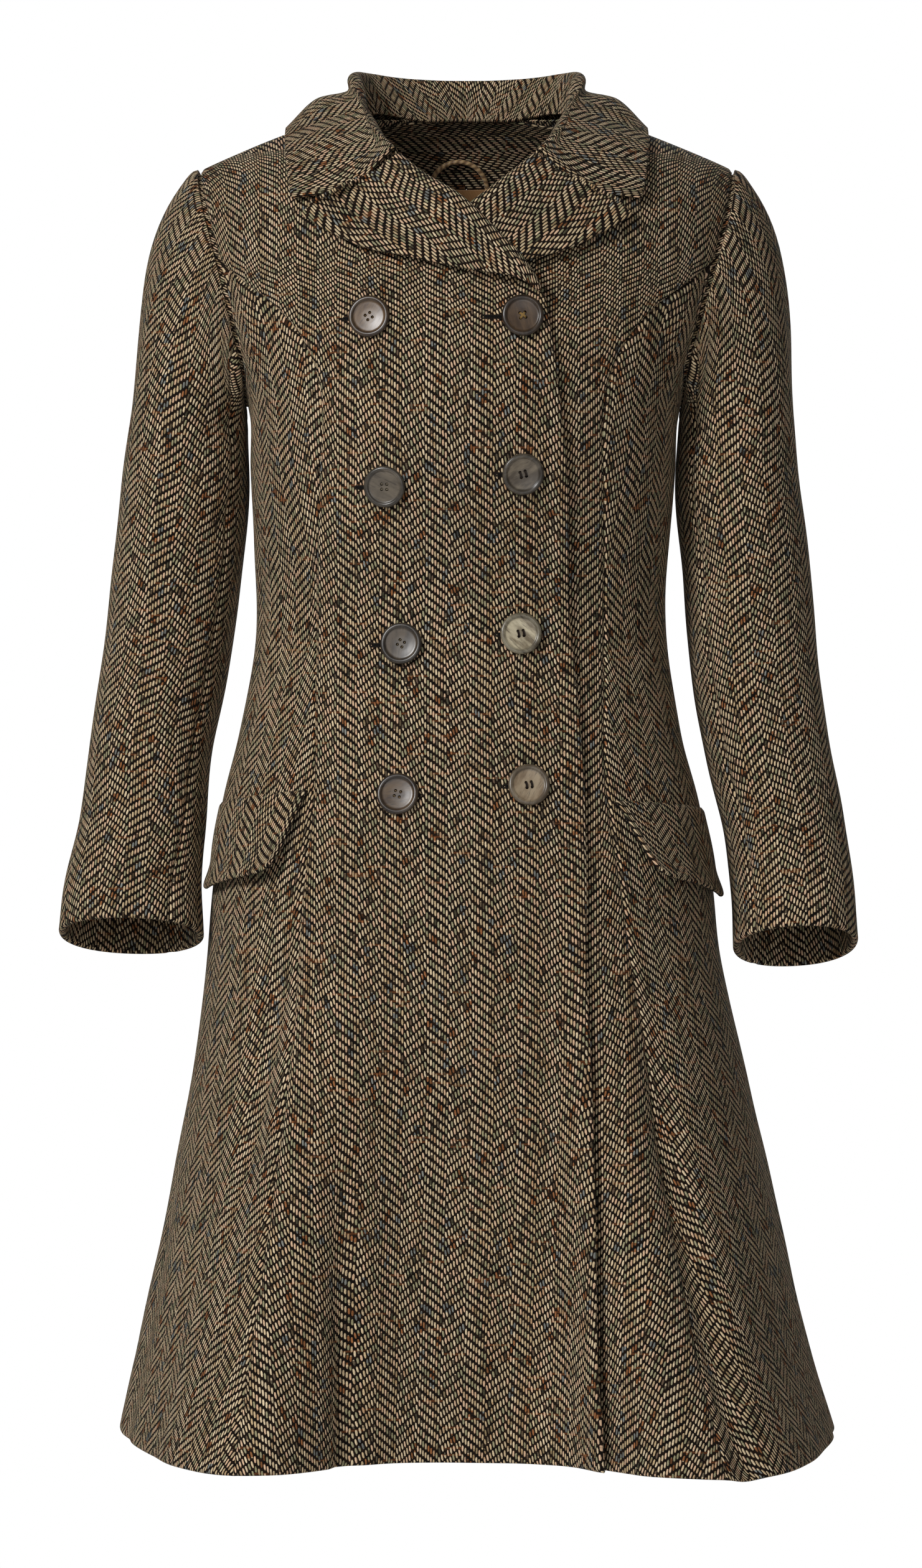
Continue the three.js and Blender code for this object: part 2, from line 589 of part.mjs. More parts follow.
function makeBacks() {
  const rows = ROWS_BELOW + ROWS_ABOVE;
  const neckShare = 0.4; // of the top edge that belongs to the neck
  const topEdge = (s) =>
    s < neckShare
      ? backNeckSeam((s / neckShare) * NECK_HALF_WIDTH)
      : shoulderSeam(NECK_HALF_WIDTH, tip, true)((s - neckShare) / (1 - neckShare));
  const side = joined(sideSeam, armholeBack);
  const middle = joined(
    (q) => backSeam(q * 0.86),
    (q) => backSeam(mix(0.86, 1, q)),
  );
  for (const [name, turn] of [
    ["back_right", mirrored],
    ["back_left", (curve) => curve],
  ]) {
    const place = patch(turn(middle), turn(side), turn(straight(middle(0), side(0))), turn(topEdge));
    add(name, bodyPanel(rows, COLUMNS.back, place), materials.tweed);
  }
}

// The armhole as one loop round the sleeve's bearings: 0 at the shoulder tip, 90 in front, 180 under the arm.
function armholePoint(side, bearing) {
  const front = bearing <= 180;
  const share = front ? bearing / 180 : (360 - bearing) / 180;
  const split = 0.5; // the front's upper and lower curves meet half way
  let spot;
  if (!front) spot = armholeBack(1 - share);
  else if (share < split) spot = armholeAbove(1 - share / split);
  else spot = armholeBelow(1 - (share - split) / (1 - split));
  const turned = spot.bearing * side;
  const base = bodyPoint(turned, spot.z);
  const normal = bodyNormal(turned, spot.z);
  const away = vector(side * (1 - share), 0, share).normalize();
  return base.addScaledVector(normal, mix(0.5, 3.1, share)).addScaledVector(away, 0.8);
}

function sleeveTube(side, stations) {
  const curve = new THREE.CatmullRomCurve3(stations.map((p) => vector(p.x, p.y, p.z)));
  return (bearing, share) => {
    const centre = curve.getPoint(share);
    const along = curve.getTangent(share);
    const out = vector(side, 0, 0).addScaledVector(along, -side * along.x).normalize();
    const front = vector(0, -1, 0).addScaledVector(along, along.y).normalize();
    const s = Math.sin(degrees(bearing));
    const c = Math.cos(degrees(bearing));
    const halfWidth = read(stations, "z", centre.z, "halfWidth");
    const halfDepth = read(stations, "z", centre.z, "halfDepth");
    const reach =
      (Math.abs(c / halfWidth) ** SLEEVE_SQUARE + Math.abs(s / halfDepth) ** SLEEVE_SQUARE) ** (-1 / SLEEVE_SQUARE);
    return centre.addScaledVector(out, reach * c).addScaledVector(front, reach * s);
  };
}

// The cap of the sleeve runs from the armhole in a rounded curve down to the top of the tube.
function sleevePoint(side, tube, bearing, row) {
  if (row >= SLEEVE_ROWS.cap) return tube(bearing, (row - SLEEVE_ROWS.cap) / SLEEVE_ROWS.tube);
  const t = row / SLEEVE_ROWS.cap;
  const from = armholePoint(side, bearing);
  const to = tube(bearing, 0);
  const top = Math.cos(degrees(bearing)) * 0.5 + 0.5;
  const length = from.distanceTo(to);
  const leave = vector(side * mix(0.12, 0.7, top), 0, -mix(1, 0.7, top)).setLength(length);
  const arrive = tube(bearing, 0.02).sub(to).setLength(length);
  const h = [2 * t ** 3 - 3 * t ** 2 + 1, t ** 3 - 2 * t ** 2 + t, 3 * t ** 2 - 2 * t ** 3, t ** 3 - t ** 2];
  return from
    .multiplyScalar(h[0])
    .addScaledVector(leave, h[1])
    .addScaledVector(to, h[2])
    .addScaledVector(arrive, h[3]);
}

function makeSleeves() {
  const rows = SLEEVE_ROWS.cap + SLEEVE_ROWS.tube;
  for (const [name, side] of [
    ["right", -1],
    ["left", 1],
  ]) {
    const tube = sleeveTube(side, SLEEVES[name]);
    const point = (bearing, row) => sleevePoint(side, tube, THREE.MathUtils.euclideanModulo(bearing, 360), row);
    const normal = (bearing, row) => {
      const round = point(bearing + 3, row).sub(point(bearing - 3, row));
      const down = point(bearing, Math.min(row + 0.3, rows)).sub(point(bearing, Math.max(row - 0.3, 0)));
      return round.cross(down).multiplyScalar(side).normalize();
    };
    const piece = (bearingOf, columns) => {
      const face = (depth) =>
        grid(rows, columns, (s, v, i) => {
          const bearing = bearingOf(s);
          return point(bearing, i).addScaledVector(normal(bearing, i), depth);
        });
      return wall(inset(face(0)), inset(face(CLOTH)));
    };
    const { front, back } = SLEEVE_SEAM;
    const closerAtTop = (s) => (s < 0.5 ? (back - 360) * (1 - 2 * s) ** 1.3 : front * (2 * s - 1) ** 1.3);
    add("upper_sleeve_" + name, piece(closerAtTop, COLUMNS.upperSleeve), materials.tweed);
    add("under_sleeve_" + name, piece((s) => mix(front, back, s), COLUMNS.underSleeve), materials.tweed);
  }
}

// A wall from one face's grid, its other face this far to the side that its normals point away from.
function sheetWall(face, thickness, flip) {
  const rows = face.length - 1;
  const columns = face[0].length - 1;
  const other = face.map((row, i) =>
    row.map((p, j) => {
      const across = row[Math.min(j + 1, columns)].clone().sub(row[Math.max(j - 1, 0)]);
      const along = face[Math.min(i + 1, rows)][j].clone().sub(face[Math.max(i - 1, 0)][j]);
      return p.clone().addScaledVector(across.cross(along).normalize(), flip ? thickness : -thickness);
    }),
  );
  return wall(face, other);
}

// A lapel, from the break (0) to the gorge (1): a half round at the roll line, then flat on the front.
function makeLapel(name, left) {
  const place = (x, z, height) => {
    const lift = left ? 0 : rightLift(atX(x, z));
    return onFront(left ? mirrorX(x) : x, z, lift + height);
  };
  const edges = LAPEL_EDGE.map((p, i) => ({ ...p, at: LAPEL_EDGE_STOPS[i] }));
  const rolls = ROLL_LINE.map((p, i) => ({ ...p, at: i / (ROLL_LINE.length - 1) }));
  const from = left ? LEFT_LAPEL_START : 0;
  const stops = Array.from({ length: LAPEL_ROWS + 1 }, (_, i) => mix(from, LAPEL_END, i / LAPEL_ROWS));
  const face = stops.map((at) => {
    const start = left ? smooth(0.42, 0.6, at) : smooth(0, 0.3, at);
    const radius = mix(left ? ROLL_RADIUS.pressed : ROLL_RADIUS.start, ROLL_RADIUS.lapel, start);
    const bottom = left ? -CLOTH : mix(0.9, -CLOTH, smooth(0.18, 0.32, at));
    const roll = vector(read(rolls, "at", at, "x"), read(rolls, "at", at, "z"), 0);
    const edge = vector(read(edges, "at", at, "x"), read(edges, "at", at, "z"), 0);
    const away = edge.clone().sub(roll);
    const width = away.length();
    away.normalize();
    const point = (s, height) => place(roll.x + away.x * s, roll.y + away.y * s, height);
    const row = [];
    for (let i = 0; i <= FOLD_STEPS.roll; i++) {
      const turn = (Math.PI * i) / FOLD_STEPS.roll;
      row.push(point(radius * (1 - Math.sin(turn)), bottom + radius * (1 - Math.cos(turn))));
    }
    for (let i = 1; i <= FOLD_STEPS.lapel; i++) {
      const s = mix(radius, width, i / FOLD_STEPS.lapel);
      const high = 1 - smooth(radius, Math.min(ROLL_SOFTNESS, width), s);
      row.push(point(s, mix(LAPEL_HEIGHT, bottom + 2 * radius, high)));
    }
    return row;
  });
  add(name, sheetWall(face, FOLDED, !left), materials.tweed);
}

// The neck seam round one side, from the gorge (0) to the centre back (1), on the outside of the body cloth.
function neckSeamSpot(at, left) {
  const side = left ? 1 : -1;
  if (at >= SHOULDER_STOP) {
    const spot = backNeckSeam(NECK_HALF_WIDTH * (1 - (at - SHOULDER_STOP) / (1 - SHOULDER_STOP)));
    return { bearing: spot.bearing * side, z: spot.z };
  }
  const edge = left ? leftNeckEdge : rightNeckEdge;
  let low = 0;
  let high = 1;
  const gorge = ROLL_LINE[ROLL_LINE.length - 1].z - GORGE_SETBACK;
  for (let i = 0; i < 30; i++) {
    const middle = (low + high) / 2;
    if (edge(middle).z < gorge) low = middle;
    else high = middle;
  }
  return edge(mix(low, 1, at / SHOULDER_STOP));
}

// The collar: a stand up from the neck seam, the roll, and the fall down to the outer edge.
function makeCollar() {
  const columns = COLUMNS.collar;
  const face = Array.from({ length: columns + 1 }, (_, j) => {
    const left = j > columns / 2;
    const side = left ? 1 : -1;
    const at = 1 - Math.abs((2 * j) / columns - 1);
    const get = (part, share = at) =>
      vector(
        NECK_CENTRE_X + side * read(COLLAR, "at", share, part),
        read(COLLAR, "at", share, part + "Y"),
        read(COLLAR, "at", share, part + "Z"),
      );
    const roll = get("roll");
    const spot = neckSeamSpot(at, left);
    const seamPoint = bodyPoint(spot.bearing, spot.z);
    const before = get("roll", Math.max(0, at - 0.03));
    const after = get("roll", Math.min(1, at + 0.03));
    const along = at > 0.985 ? vector(1, 0, 0) : after.sub(before).multiplyScalar(-side);
    const rough = roll.clone().sub(seamPoint).normalize();
    const out = rough.clone().cross(along).normalize();
    const inside = seamPoint.clone().addScaledVector(out, -FOLDED - STAND_GAP.inwards);
    const up = roll.clone().addScaledVector(out, -ROLL_RADIUS.collar).sub(inside).normalize();
    const radius = ROLL_RADIUS.collar;
    const centre = roll.clone().addScaledVector(up, -radius);
    const foot = inside.clone().addScaledVector(up, STAND_GAP.up);
    const neckSide = centre.clone().addScaledVector(out, -radius);
    const row = [];
    for (let i = 0; i < FOLD_STEPS.stand; i++) row.push(foot.clone().lerp(neckSide, i / FOLD_STEPS.stand));
    for (let i = 0; i <= FOLD_STEPS.roll; i++) {
      const turn = (Math.PI * i) / FOLD_STEPS.roll;
      const swing = out.clone().multiplyScalar(-Math.cos(turn)).addScaledVector(up, Math.sin(turn));
      row.push(centre.clone().addScaledVector(swing, radius));
    }
    const top = row[row.length - 1];
    const half = heightOverBody(get("half"), FOLDED + 1.4, true);
    const edge = heightOverBody(get("edge"), FOLDED + 1.1, false);
    const straightOn = half.clone().sub(top).normalize().lerp(up.clone().negate(), smooth(0, 0.12, at));
    const lead = top.clone().addScaledVector(straightOn.normalize(), 6);
    const curve = new THREE.CatmullRomCurve3([top, lead, half, edge], false, "centripetal");
    for (let i = 1; i <= FOLD_STEPS.fall; i++) row.push(curve.getPointAt(i / FOLD_STEPS.fall));
    return row;
  });
  add("collar", sheetWall(face, FOLDED, true), materials.tweed);
}

// A pocket flap on the side front: its lower corners rounded, standing off the cloth towards its front corner.
function makeFlap(name, { side, topFront, topBack, lowBack, lowFront }) {
  const corner = (t) => 1 - Math.sqrt(Math.max(0, 1 - t * t));
  const face = grid(FLAP_ROWS, COLUMNS.flap, (s, v) => {
    const nearEnd = Math.max(0, (Math.abs(2 * s - 1) - 1 + 2 * FLAP_CORNER) / (2 * FLAP_CORNER));
    const up = v + (1 - v) * FLAP_CORNER * 1.4 * corner(Math.min(1, nearEnd));
    const at = [0, 1].map((i) =>
      mix(mix(lowFront[i], lowBack[i], s), mix(topFront[i], topBack[i], s), up),
    );
    const bearing = side * at[0];
    const height = CLOTH + FLAP_GAP + (1 - up) * (FLAP_LIFT.edge * (1 - s) ** 2 + FLAP_LIFT.all);
    return bodyPoint(bearing, at[1]).addScaledVector(bodyNormal(bearing, at[1]), height);
  });
  add(name, sheetWall(face, CLOTH, side < 0), materials.tweed);
}

// A sewn-through button with a raised rim, a dished middle and four holes, facing +Z before it is placed.
function buttonGeometry(wasm) {
  const { radius, thickness, rim, dish, hole, holeSpacing, sides } = BUTTON;
  const section = [
    [0, 0],
    [radius * 0.72, 0],
    [radius, thickness * 0.45],
    [radius * 0.99, thickness * 0.8],
    [radius - rim * 0.55, thickness],
    [radius - rim * 1.3, thickness * 0.92],
    [radius - rim * 1.9, thickness - dish],
    [0, thickness - dish * 1.2],
  ];
  const profile = new wasm.CrossSection([section]);
  const body = profile.revolve(sides);
  const cutter = wasm.Manifold.cylinder(thickness * 2, hole, hole, 6).translate([0, 0, -thickness / 2]);
  const cuts = [0, 1, 2, 3].map((i) => {
    const turn = Math.PI * (0.25 + i / 2);
    const reach = holeSpacing / Math.SQRT2;
    return cutter.translate([Math.cos(turn) * reach, Math.sin(turn) * reach, 0]);
  });
  const mesh = body.subtract(wasm.Manifold.union(cuts)).getMesh();
  const geometry = new THREE.BufferGeometry();
  geometry.setAttribute("position", new THREE.BufferAttribute(new Float32Array(mesh.vertProperties), 3));
  geometry.setIndex(new THREE.BufferAttribute(new Uint32Array(mesh.triVerts), 1));
  geometry.computeVertexNormals();
  return geometry;
}

// Each button lies on the right front, just clear of the highest point of the cloth under its back.
function makeButtons(wasm) {
  const geometry = buttonGeometry(wasm);
  const cloth = coat.getObjectByName("front_right");
  for (const { name, x, z, turn } of BUTTONS) {
    const p = atX(x, z);
    const normal = bodyNormal(p.bearing, p.z);
    const upright = new THREE.Quaternion().setFromUnitVectors(vector(0, 0, 1), normal);
    const away = onFront(x, z, 60);
    const depths = [0, 1, 2, 3, 4, 5, 6, 7, 8].map((k) => {
      const spread = k === 0 ? 0 : BUTTON.radius * 0.75;
      const aside = vector(Math.cos((k * Math.PI) / 4), Math.sin((k * Math.PI) / 4), 0).multiplyScalar(spread);
      const start = away.clone().add(aside.applyQuaternion(upright));
      return new THREE.Raycaster(start, normal.clone().negate()).intersectObject(cloth)[0].distance;
    });
    const mesh = add(name, geometry.clone(), materials.button);
    mesh.position.copy(away).addScaledVector(normal, BUTTON_GAP - Math.min(...depths));
    mesh.quaternion.copy(upright);
    mesh.rotateZ(degrees(turn));
  }
}

// The facing inside the back neck, and the lining below it.
function makeInside() {
  const inside = (rows, top, bottom, reach, depth, thickness) => {
    const face = (extra) =>
      grid(rows, COLUMNS.inside, (s, v) => {
        const across = reach * (2 * s - 1);
        const z = mix(bottom(across), top(across), v);
        const bearing = bearingAt(across === 0 ? 0.01 : across, z, true);
        return bodyPoint(bearing, z).addScaledVector(bodyNormal(bearing, z), -depth - extra);
      });
    return wall(face(0), face(thickness));
  };
  const neck = (across) => backNeckSeam(Math.abs(across)).z;
  const facingEnd = (across) => mix(BACK_NECK_Z - FACING_DEPTH, -34, smooth(0, INSIDE_REACH, Math.abs(across)));
  add(
    "back_neck_facing",
    inside(4, (x) => neck(x) - 1.2 - 2.5 * smooth(25, INSIDE_REACH, Math.abs(x)), facingEnd, INSIDE_REACH, CLOTH + LAYER_GAP, FACING_CLOTH),
    materials.facing,
  );
  add(
    "lining",
    inside(6, (x) => facingEnd(x) - SEAM_GAP, () => LINING_END_Z, INSIDE_REACH, CLOTH + LAYER_GAP, LINING_CLOTH),
    materials.lining,
  );
}

// The hanger loop: a cord in an arch over the facing, its ends at the seam to the lining.
function makeLoop() {
  const base = BACK_NECK_Z - FACING_DEPTH;
  const onFacing = (across, z, off) => {
    const bearing = bearingAt(across === 0 ? 0.01 : across, z, true);
    const depth = CLOTH + LAYER_GAP + FACING_CLOTH + off;
    return bodyPoint(bearing, z).addScaledVector(bodyNormal(bearing, z), -depth);
  };
  const steps = 14;
  const centres = Array.from({ length: steps + 1 }, (_, i) => {
    const turn = Math.PI * (i / steps);
    const off = LOOP.radius + LAYER_GAP + 1.2 * Math.sin(turn);
    return onFacing(LOOP.centre - LOOP.halfWidth * Math.cos(turn), base + LOOP.rise * Math.sin(turn), off);
  });
  const sides = 8;
  const rings = centres.map((centre, i) => {
    const along = centres[Math.min(i + 1, steps)].clone().sub(centres[Math.max(i - 1, 0)]).normalize();
    const first = vector(0, 1, 0).addScaledVector(along, -along.y).normalize();
    const second = along.clone().cross(first);
    return Array.from({ length: sides }, (_, k) => {
      const turn = (2 * Math.PI * k) / sides;
      return centre
        .clone()
        .addScaledVector(first, LOOP.radius * Math.cos(turn))
        .addScaledVector(second, LOOP.radius * Math.sin(turn));
    });
  });
  const positions = [...rings.flat(), centres[0], centres[steps]].flatMap((p) => [p.x, p.y, p.z]);
  const index = [];
  const cap = [rings.length * sides, rings.length * sides + 1];
  for (let k = 0; k < sides; k++) {
    const next = (k + 1) % sides;
    for (let i = 0; i < steps; i++) {
      const [a, b] = [i * sides, (i + 1) * sides];
      index.push(a + k, b + k, b + next, a + k, b + next, a + next);
    }
    index.push(cap[0], k, next, cap[1], steps * sides + next, steps * sides + k);
  }
  const geometry = new THREE.BufferGeometry();
  geometry.setAttribute("position", new THREE.Float32BufferAttribute(positions, 3));
  geometry.setIndex(index);
  add("hanger_loop", facingOut(geometry), materials.loop);
}

const wasm = await Module();
wasm.setup();

makeFronts();
makeSideFronts();
makeBacks();
makeSleeves();
makeLapel("lapel_right", false);
makeLapel("lapel_left", true);
makeCollar();
for (const side of ["right", "left"]) makeFlap("flap_" + side, FLAPS[side]);
makeInside();
makeLoop();
makeButtons(wasm);

export default coat;
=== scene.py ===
"""A double-breasted herringbone tweed coat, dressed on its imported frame.

Shapes are worked out in millimetres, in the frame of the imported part: +Z up, -Y to the front, +X to the
wearer's left, and turned into metres when a mesh is made. "right" and "left" are the wearer's.
"""

import math

import bmesh
import bpy
import numpy as np
from mathutils import Matrix, Vector


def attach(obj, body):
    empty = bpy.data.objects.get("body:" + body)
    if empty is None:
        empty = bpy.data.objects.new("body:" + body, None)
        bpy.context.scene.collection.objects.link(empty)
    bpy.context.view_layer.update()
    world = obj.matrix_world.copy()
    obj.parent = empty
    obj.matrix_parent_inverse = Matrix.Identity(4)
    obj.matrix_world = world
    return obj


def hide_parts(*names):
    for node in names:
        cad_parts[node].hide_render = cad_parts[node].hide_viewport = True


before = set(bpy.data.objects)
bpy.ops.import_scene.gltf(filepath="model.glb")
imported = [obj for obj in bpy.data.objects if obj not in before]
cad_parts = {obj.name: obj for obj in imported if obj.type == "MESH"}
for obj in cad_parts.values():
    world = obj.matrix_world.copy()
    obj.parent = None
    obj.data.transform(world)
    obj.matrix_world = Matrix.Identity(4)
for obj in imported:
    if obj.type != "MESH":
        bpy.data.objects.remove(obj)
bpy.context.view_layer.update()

# Driving dimensions, the same as in the part's source
HEM_Z = -924
UNDERARM_Z = -205
BREAK_Z = -142
CLOTH = 2.6
FOLDED = 3.2
FACING_CLOTH = 1.6
LINING_CLOTH = 1
LAYER_GAP = 0.5
OVERLAP_GAP = 1.5
LIFT_RAMP = 64
SHOULDER_Y = 4
NECK_CENTRE_X = 4
NECK_HALF_WIDTH = 78
NECK_POINT_Z = 4
SHOULDER_SLOPE = 0.3
SHOULDER_DROOP = 0.00075
NECK_ROUNDING = 20
ARCH_FRONT = 120
ARCH_BACK = 90
SHOULDER_TIP = 110
BACK_NECK_Z = 10
FACING_DEPTH = 46
INSIDE_REACH = 63
LINING_END_Z = -168

# Looks
SEAM_GROOVE = 1.5  # depth of the dip along a seam
SEAM_WIDTH = 2.0
SEAM_RIDGE = 0.35  # the pressed seam allowance under the cloth
HEM_TURN = 40  # height of the turned-up hem inside
HEM_EXTRA = 2.0  # thickness that it adds
EDGE_EXTRA = 1.8  # the front edge is thicker by this
EDGE_CURL = 6.5  # how far it stands forward at the hem
FREE_EDGE_LIFT = 5.5  # the lapels' and collar's edges stand up by this
STEP = 5.5  # mesh step inside a panel
EDGE_STEPS = np.array([0.15, 0.35, 0.65, 1.1, 1.7, 2.6, 3.9, 5.8, 8.4])


def table(names, *rows):
    """A table of numbers by column name."""
    return dict(zip(names.split(), np.array(rows, float).T))


BODY = table(
    "z half_width centre front back square",
    (-924, 251, 7, 205, 186, 2.6),
    (-850, 232, 5.5, 190, 172, 2.55),
    (-750, 210.5, 6, 173, 156, 2.5),
    (-650, 190.5, 4.5, 158, 143, 2.45),
    (-594, 181, 1.7, 150, 136, 2.4),
    (-540, 176, 1, 144, 130, 2.4),
    (-488, 169, 0, 136, 120, 2.4),
    (-436, 156, -0.6, 125, 105, 2.35),
    (-383, 146.5, 0, 116, 91, 2.3),
    (-345, 144, 0, 114, 87, 2.3),
    (-300, 146.5, 0.5, 122, 91, 2.35),
    (-250, 149.5, 1, 133, 98, 2.4),
    (-205, 152, 2, 136, 103, 2.45),
    (-150, 172, 3, 131, 106, 2.5),
    (-100, 188, 4, 124, 105, 2.5),
    (-50, 203, 4, 120, 101, 2.5),
    (30, 215, 4, 116, 97, 2.5),
)
FOLD_TOP = -500
FOLD_GROWTH = 1.7
HEM_FOLDS = table(
    "bearing reach",
    *((-180, 178), (-164, 183), (-150, 222), (-138, 226), (-124, 212), (-106, 246), (-90, 248)),
    *((-72, 249), (-57, 258), (-47, 271), (-36, 274), (-29, 250), (-22, 196), (-14, 173), (0, 169)),
    *((13, 181), (21, 203), (27, 254), (35, 290), (43, 297), (53, 284), (66, 266), (90, 254)),
    *((108, 242), (124, 214), (139, 230), (152, 216), (166, 180), (180, 178)),
)
PRINCESS_SEAM = [
    (35, -924),
    (37, -800),
    (40, -654),
    (41, -560),
    (41, -475),
    (46, -400),
    (48, -345),
    (43, -277),
    (40, -215),
    (46, -165),
]
ARMHOLE_FRONT = [(154, -181), (161, -150), (172, -108), (181, -75)]
ARMHOLE_BACK = [(158, -182), (165, -150), (174, -110), (182, -75)]
PRINCESS_TOP = 2
FRONT_EDGE = [
    (100.5, -924),
    (95, -810),
    (87, -655),
    (83.5, -524),
    (78.5, -418),
    (72, -332),
    (66.5, -216),
    (57, BREAK_Z),
]
UNDERLAP_EDGE = table("x z", (-46, -924), (-58, -655), (-62, -345), (-49, BREAK_Z))
ROLL_LINE = table(
    "at x z",
    (0, 57, BREAK_Z),
    (1 / 6, 43, -120),
    (2 / 6, 25, -99),
    (3 / 6, 6, -80.5),
    (4 / 6, -12, -66),
    (5 / 6, -27, -54),
    (1, -42.6, -40),
)
LAPEL_EDGE = table(
    "at x z",
    (0, 54, -143),
    (0.18, 36, -133),
    (0.36, 7, -127.5),
    (0.55, -33, -118.5),
    (0.72, -68, -108),
    (0.88, -104, -87.5),
    (0.9, -104.5, -84),
    (1, -72, -68),
)
LAPEL_END = 0.978
LEFT_LAPEL_START = 0.36
ROLL_SETBACK = 4
GORGE_SETBACK = 5
COLLAR = table(
    "at roll rollY rollZ half halfY halfZ edge edgeY edgeZ",
    (0, 48, -98.5, -36.2, 78.2, -109, -62.8, 118, -97.5, -72),
    (0.12, 60, -81, -21.5, 91, -89.5, -40, 122, -84, -53),
    (0.28, 69.5, -49, 0, 99, -52, -14, 126.5, -52, -25),
    (0.42, 77.6, -18, 24, 105, -22, 9, 128, -22, -11),
    (0.5, 80, 8, 33.5, 106, 10, 14, 127.5, 12, -8),
    (0.64, 72, 38, 37, 94, 47, 13, 114, 49, -12),
    (0.78, 52, 56, 36.5, 65, 70, 10, 78, 76, -17),
    (0.9, 24, 64, 36, 30, 79, 8, 36, 88, -20),
    (1, 0, 66, 36, 0, 81, 8, 0, 91, -21),
)
SHOULDER_STOP = 0.46
ROLL_RADIUS = {"collar": 5, "lapel": 4.6, "start": 3.6, "pressed": 3.5}
LAPEL_HEIGHT = FOLDED + LAYER_GAP + 0.6
ROLL_SOFTNESS = 34
STAND_FOOT = -8  # the stand's foot hangs over the facing's top
STAND_INWARDS = 1.6
SLEEVES = {
    "right": table(
        "z x y half_width half_depth",
        (-218, -192.5, 6, 39.5, 57),
        (-262, -195, 8, 42.5, 57),
        (-320, -201, 8, 43, 56),
        (-385, -208.5, 4, 42, 54),
        (-440, -218, -4, 40.5, 51),
        (-500, -223.5, -17, 42, 46),
        (-545, -229, -31, 45.5, 41),
        (-577, -229.5, -43, 48, 39),
    ),
    "left": table(
        "z x y half_width half_depth",
        (-218, 195.5, 6, 38.5, 57),
        (-262, 196, 8, 41.5, 57),
        (-320, 202, 8, 42.5, 56),
        (-385, 207.5, 4, 42.5, 54),
        (-440, 215, -4, 41.5, 52),
        (-500, 226.5, -17, 40, 50),
        (-545, 231.5, -31, 40.5, 47),
        (-584, 233, -45, 41, 46),
    ),
}
SLEEVE_FRONT = 130
SLEEVE_BACK = 235
SLEEVE_SQUARE = 2.2
CAP_ROWS = 7
TUBE_ROWS = 10
BUTTON_RADIUS = 14.2
BUTTONS = {
    "right_1": (-61, -155.5, 20),
    "left_1": (41, -155.5, 14),
    "right_2": (-50.5, -268.5, -14),
    "left_2": (41, -260.5, 24),
    "right_3": (-39.5, -376.5, 52),
    "left_3": (39.5, -369.5, 18),
    "right_4": (-42, -479, -20),
    "left_4": (45, -473, 16),
}
FLAPS = {
    "right": (-1, (42.5, -475), (78, -484), (80, -546), (47.5, -532)),
    "left": (1, (42.5, -482), (80, -488), (82, -552), (48.5, -535)),
}
FLAP_LIFT_FRONT = 10
FLAP_LIFT = 1.2
FLAP_CORNER = 0.1
FLAP_GAP = 0.6
FLAP_EDGE_LIFT = 3.6


def mix(a, b, t):
    return a + (b - a) * t


def smooth(start, end, value):
    t = np.clip((value - start) / (end - start), 0, 1)
    return t * t * (3 - 2 * t)


def unit(v):
    return v / np.maximum(np.linalg.norm(v, axis=-1, keepdims=True), 1e-9)


def vec(x, y, z):
    return np.stack(np.broadcast_arrays(x, y, z), -1).astype(float)


def read(tab, by, value, column):
    """A smooth curve through one column of a table, read at values of another."""
    x, y = tab[by], tab[column]
    if x[0] > x[-1]:
        x, y = x[::-1], y[::-1]
    value = np.clip(value, x[0], x[-1])
    k = np.clip(np.searchsorted(x, value) - 1, 0, len(x) - 2)
    low = np.maximum(np.arange(len(x)) - 1, 0)
    high = np.minimum(np.arange(len(x)) + 1, len(x) - 1)
    slope = (y[high] - y[low]) / (x[high] - x[low])
    width = x[k + 1] - x[k]
    t = (value - x[k]) / width
    a, b = y[k], y[k + 1]
    ta, tb = slope[k] * width, slope[k + 1] * width
    return a + t * (ta + t * (3 * (b - a) - 2 * ta - tb + t * (2 * (a - b) + ta + tb)))


def shoulder_z(across):
    """Height of the shoulder seam at a distance from the middle of the neck."""
    soft = np.hypot(across, NECK_ROUNDING) - math.hypot(NECK_HALF_WIDTH, NECK_ROUNDING)
    return NECK_POINT_Z - SHOULDER_SLOPE * soft - SHOULDER_DROOP * np.maximum(0, soft) ** 2


def ring_reach(bearing, z):
    """How far the cloth stands from the middle at a bearing, with the flare folds of the skirt."""
    turned = np.mod(bearing + 180, 360) - 180
    s, c = np.sin(np.radians(turned)), np.cos(np.radians(turned))

    def plain(level):
        square = read(BODY, "z", level, "square")
        side = np.abs(s) / read(BODY, "z", level, "half_width")
        deep = np.where(c > 0, read(BODY, "z", level, "front"), read(BODY, "z", level, "back"))
        return (side**square + (np.abs(c) / deep) ** square) ** (-1 / square)

    share = np.clip((FOLD_TOP - z) / (FOLD_TOP - HEM_Z), 0, 1) ** FOLD_GROWTH
    flare = read(HEM_FOLDS, "bearing", turned, "reach") - plain(np.float64(HEM_Z))
    return plain(z) + share * flare


def body_point(bearing, z):
    """The outside of the body cloth at a bearing and a height."""
    bearing, z = np.broadcast_arrays(np.asarray(bearing, float), np.asarray(z, float))
    reach = ring_reach(bearing, z)
    across = reach * np.sin(np.radians(bearing))
    forward = -reach * np.cos(np.radians(bearing))
    arch = np.where(forward < 0, ARCH_FRONT, ARCH_BACK)
    below = np.clip((shoulder_z(across) - z) / arch, 0, 1)
    opened = np.sqrt(1 - (1 - below) ** 2)
    lift = np.maximum(0, z - shoulder_z(across))
    return vec(read(BODY, "z", z, "centre") + across, mix(SHOULDER_Y, forward, opened), z - lift)


